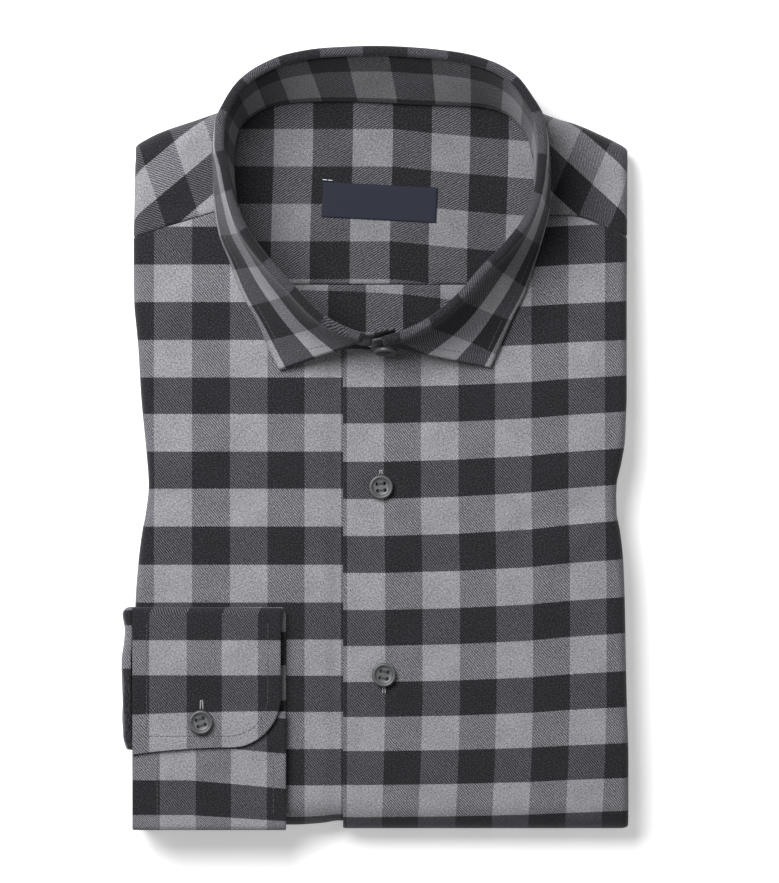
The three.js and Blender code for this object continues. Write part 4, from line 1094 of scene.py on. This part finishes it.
# Buttons and their threads.
def button(name, node, place, tilt, turn):
    profile = [
        (0.0, 0.0), (0.55, 0.0), (0.72, 0.02), (0.88, 0.14), (0.97, 0.32), (1.0, 0.52), (0.99, 0.72),
        (0.95, 0.9), (0.89, 0.99), (0.83, 1.0), (0.77, 0.93), (0.71, 0.78), (0.65, 0.66), (0.56, 0.6),
        (0.3, 0.57), (0.0, BUTTON_FLOOR),
    ]
    count = 72
    vertices, faces = [(0, 0, 0)], []
    for out, up in profile[1:-1]:
        for s in range(count):
            angle = 2 * pi * s / count
            reach = BUTTON_RADIUS * out
            vertices.append((reach * cos(angle), reach * sin(angle), BUTTON_THICK * up))
    vertices.append((0, 0, BUTTON_THICK * BUTTON_FLOOR))
    rings = len(profile) - 2
    for s in range(count):
        after = (s + 1) % count
        faces.append((0, 1 + after, 1 + s))
        for r in range(rings - 1):
            a, b = 1 + r * count, 1 + (r + 1) * count
            faces.append((a + s, a + after, b + after, b + s))
        last = 1 + (rings - 1) * count
        faces.append((last + s, last + after, len(vertices) - 1))
    obj = add_object(name, vertices, faces, BUTTON_HORN)
    for dx, dy in ((1, 1), (-1, 1), (-1, -1), (1, -1)):
        bpy.ops.mesh.primitive_cylinder_add(
            vertices=24, radius=HOLE_RADIUS * MM, depth=10 * MM,
            location=(dx * HOLE_OFFSET * MM, dy * HOLE_OFFSET * MM, 0),
        )
        drill = bpy.context.object
        cut = obj.modifiers.new("hole", "BOOLEAN")
        cut.operation = "DIFFERENCE"
        cut.object = drill
        cut.solver = "EXACT"
        bpy.context.view_layer.update()
        graph = bpy.context.evaluated_depsgraph_get()
        made = bpy.data.meshes.new_from_object(obj.evaluated_get(graph))
        obj.modifiers.clear()
        obj.data = made
        bpy.data.objects.remove(drill)
    obj.data.polygons.foreach_set("use_smooth", [True] * len(obj.data.polygons))
    obj.data.set_sharp_from_angle(angle=radians(40))
    turned = Matrix.Rotation(tilt, 4, "X") @ Matrix.Rotation(turn, 4, "Z")
    move = Matrix.Translation(Vector(place) * MM) @ turned
    obj.data.transform(move)
    settle(obj, [node])
    return move


def capsule(start, end, radius, sides=6):
    """The rings of a short stitch: a rounded bar between two points, in millimetres."""
    start, end = np.array(start, float), np.array(end, float)
    d = end - start
    d /= max(np.linalg.norm(d), 1e-9)
    a = np.cross(d, (0, 0, 1.0) if abs(d[2]) < 0.9 else (1.0, 0, 0))
    a /= np.linalg.norm(a)
    b = np.cross(d, a)
    turns = [2 * pi * s / sides for s in range(sides)]
    stops = ((start, 0.5), (start + d * radius, 1.0), (end - d * radius, 1.0), (end, 0.5))
    return [
        [place + radius * r * (a * cos(turn) + b * sin(turn)) for turn in turns]
        for place, r in stops
    ]


def stitches(name, bars, material):
    vertices, faces = [], []
    for start, end, radius in bars:
        rings = capsule(start, end, radius)
        faces += tube(rings, len(vertices))
        vertices += [place for ring in rings for place in ring]
    return settle(add_object(name, vertices, faces, material), [])


BUTTONS = [
    ("button_one", "button_front_1", (*BUTTON_ONE, HEIGHT + GAP), 0.0, 0.1),
    ("button_two", "button_front_2", (*BUTTON_TWO, HEIGHT + GAP), 0.0, -0.15),
    ("button_on_cuff", "button_cuff", (*CUFF_BUTTON, CUFF_TOP + GAP), 0.0, 0.3),
    ("button_on_collar", "button_collar", (4.6, 42.5, 34.5), radians(76), 0.0),
]
bars = []
for name, node, place, tilt, turn in BUTTONS:
    move = button(name, node, place, tilt, turn)
    for row in (HOLE_OFFSET, -HOLE_OFFSET):
        for slip in (-0.28, 0, 0.28):
            spots = [Vector((x, row + slip, 1.5)) for x in (HOLE_OFFSET, -HOLE_OFFSET)]
            ends = [move @ (spot * MM) / MM for spot in spots]
            bars.append((tuple(ends[0]), tuple(ends[1]), 0.2))
stitches("thread_buttons", bars, DARK_THREAD)
bars = []
for bx, low, high, z in (
    (2.6, -16.6, -14.9, 24.15), (4.0, -119.6, -117.0, 24.15), (-81.6, -127.0, -123.0, 31.2),
):
    for side in (-0.62, 0.62):
        bars.append(((bx + side, low, z), (bx + side * 0.75, high, z), 0.34))
    bars.append(((bx - 0.8, high + 0.1, z + 0.1), (bx + 0.8, high + 0.1, z + 0.1), 0.3))
stitches("thread_buttonholes", bars, HOLE_THREAD)


# Stitch lines.
def stitch_line(path, up, sink=0.08):
    """Bars laid along a path of points, each lying on the cloth's face."""
    length, gap, radius = STITCH_LENGTH, STITCH_GAP, STITCH_RADIUS
    path, up = np.asarray(path, float), np.asarray(up, float)
    along = np.concatenate([[0], np.cumsum(np.linalg.norm(np.diff(path, axis=0), axis=1))])
    out, s = [], gap
    while s + length < along[-1]:
        ends = []
        for at in (s, s + length):
            p = np.array([np.interp(at, along, path[:, k]) for k in range(3)])
            n = np.array([np.interp(at, along, up[:, k]) for k in range(3)])
            ends.append(p + n * (radius - sink))
        out.append((ends[0], ends[1], radius))
        s += length + gap
    return out


def leaf_line(inset):
    """Points at that distance inside the leaf's hem and its two front edges."""
    rows, columns = leaf_points.shape[:2]
    from_hem = leaf[..., 5]
    path, up = [], []
    from_left = np.cumsum(np.linalg.norm(np.diff(leaf_points, axis=0), axis=-1), axis=0)
    left_row = [int(np.searchsorted(from_left[:, c], inset)) + 1 for c in range(columns)]
    right_row = [
        rows - 1 - int(np.searchsorted(from_left[-1, c] - from_left[::-1, c], inset))
        for c in range(columns)
    ]
    corner = [int(np.argmin(np.abs(from_hem[r] - inset))) for r in range(rows)]
    start_c = int(np.argmin(np.abs(from_hem[4] - 46)))
    for c in range(start_c, corner[left_row[-1]] + 1):
        path.append(leaf_points[left_row[c], c])
        up.append(leaf_normals[left_row[c], c])
    for r in range(left_row[corner[5]] + 1, right_row[corner[-6]]):
        f = from_hem[r][::-1]
        at = np.interp(inset, f, np.arange(columns)[::-1])
        k, t = int(at), at - int(at)
        path.append(lerp(leaf_points[r, k], leaf_points[r, min(k + 1, columns - 1)], t))
        up.append(leaf_normals[r, k])
    for c in range(corner[right_row[-1]], start_c, -1):
        path.append(leaf_points[right_row[c], c])
        up.append(leaf_normals[right_row[c], c])
    return np.array(path), np.array(up)


path, up = leaf_line(5.2)
stitches("stitches_collar", stitch_line(path, up), SEAM_THREAD)


def drape_on(points, normals, targets):
    """The nearest points of a sheet to places given in x and y."""
    flat = points.reshape(-1, 3)
    n = normals.reshape(-1, 3)
    path, up = [], []
    for x, y, z in targets:
        far = np.hypot(flat[:, 0] - x, flat[:, 1] - y) + 0.6 * np.abs(flat[:, 2] - z)
        i = int(np.argmin(far))
        path.append((x, y, flat[i, 2]))
        up.append(n[i])
    return path, up


bars = []
cuff_edge = [(-50.5, y, CUFF_TOP) for y in np.linspace(-86, -121, 24)]
for step in range(1, 14):
    angle = pi / 2 * step / 14
    cuff_edge.append((-69 + 18.5 * cos(angle), -121 - 18.5 * sin(angle), CUFF_TOP))
cuff_edge += [(x, -139.5, CUFF_TOP) for x in np.linspace(-71, -108.5, 24)]
bars += stitch_line(*drape_on(cuff_points, cuff_normals, cuff_edge))
for places, z in (
    ([(-107.4, y) for y in np.linspace(-86, -139, 36)], CUFF_TOP),
    ([(-102.5, y) for y in np.linspace(-150, -178, 18)], CUFF_MIDDLE),
    ([(-48.0, y) for y in np.linspace(-150, -178, 18)], CUFF_MIDDLE),
):
    targets = [(x, y, z) for x, y in places]
    bars += stitch_line(*drape_on(cuff_points, cuff_normals, targets))
stitches("stitches_cuff", bars, SEAM_THREAD)

bars = []
for marks in LABEL_STITCHES:
    ends = [(x, y, float(dish_height(x, y)) + 0.9) for x, y in (photo(*mark) for mark in marks)]
    bars.append((*ends, 0.22))
stitches("stitches_label", bars, LABEL_THREAD)

# Floor, lights and camera.
n = Nodes("floor_paper")
floor_bsdf = n.add("ShaderNodeBsdfPrincipled", {
    "Base Color": (0.86, 0.86, 0.86, 1), "Roughness": 0.9, "Specular IOR Level": 0.1,
    "Emission Color": (1, 1, 1, 1), "Emission Strength": 0.3,
})
floor_material = n.finish(floor_bsdf.outputs[0])
FLOOR_REACH, FLOOR_Z = 3000, -0.25
corners = [(x * FLOOR_REACH, y * FLOOR_REACH, FLOOR_Z) for x, y in ((-1, -1), (1, -1), (1, 1), (-1, 1))]
floor = add_object("floor", corners, [(0, 1, 2, 3)], floor_material)

world = bpy.data.worlds.new("studio")
world.use_nodes = True
background = world.node_tree.nodes["Background"]
background.inputs[0].default_value = (1, 1, 1, 1)
background.inputs[1].default_value = 0.2
bpy.context.scene.world = world


def area_light(name, place, size, power):
    """A round soft light that faces the middle of the shirt."""
    data = bpy.data.lights.new(name, "AREA")
    data.shape = "DISK"
    data.size = size
    data.energy = power
    obj = bpy.data.objects.new(name, data)
    obj.location = place
    obj.rotation_mode = "QUATERNION"
    obj.rotation_quaternion = (-Vector(place)).to_track_quat("-Z", "Y")
    bpy.context.scene.collection.objects.link(obj)


area_light("key", (-0.54, 0.62, 1.15), 0.98, 33.5)
area_light("fill", (0.6, -0.4, 2.2), 1.6, 6)

camera_data = bpy.data.cameras.new("camera")
camera = bpy.data.objects.new("camera", camera_data)
bpy.context.scene.collection.objects.link(camera)
DISTANCE = 6.0
camera_data.sensor_width = 36
camera_data.lens = 36 * (DISTANCE - HEIGHT * MM) / (PHOTO_HEIGHT * PIXEL * MM)
centre_x, centre_y = photo(PHOTO_WIDTH / 2, PHOTO_HEIGHT / 2)
camera.location = (centre_x * MM, centre_y * MM, DISTANCE)
camera_data.clip_start, camera_data.clip_end = 0.1, 50
bpy.context.scene.camera = camera
bpy.context.scene.view_settings.view_transform = "Standard"
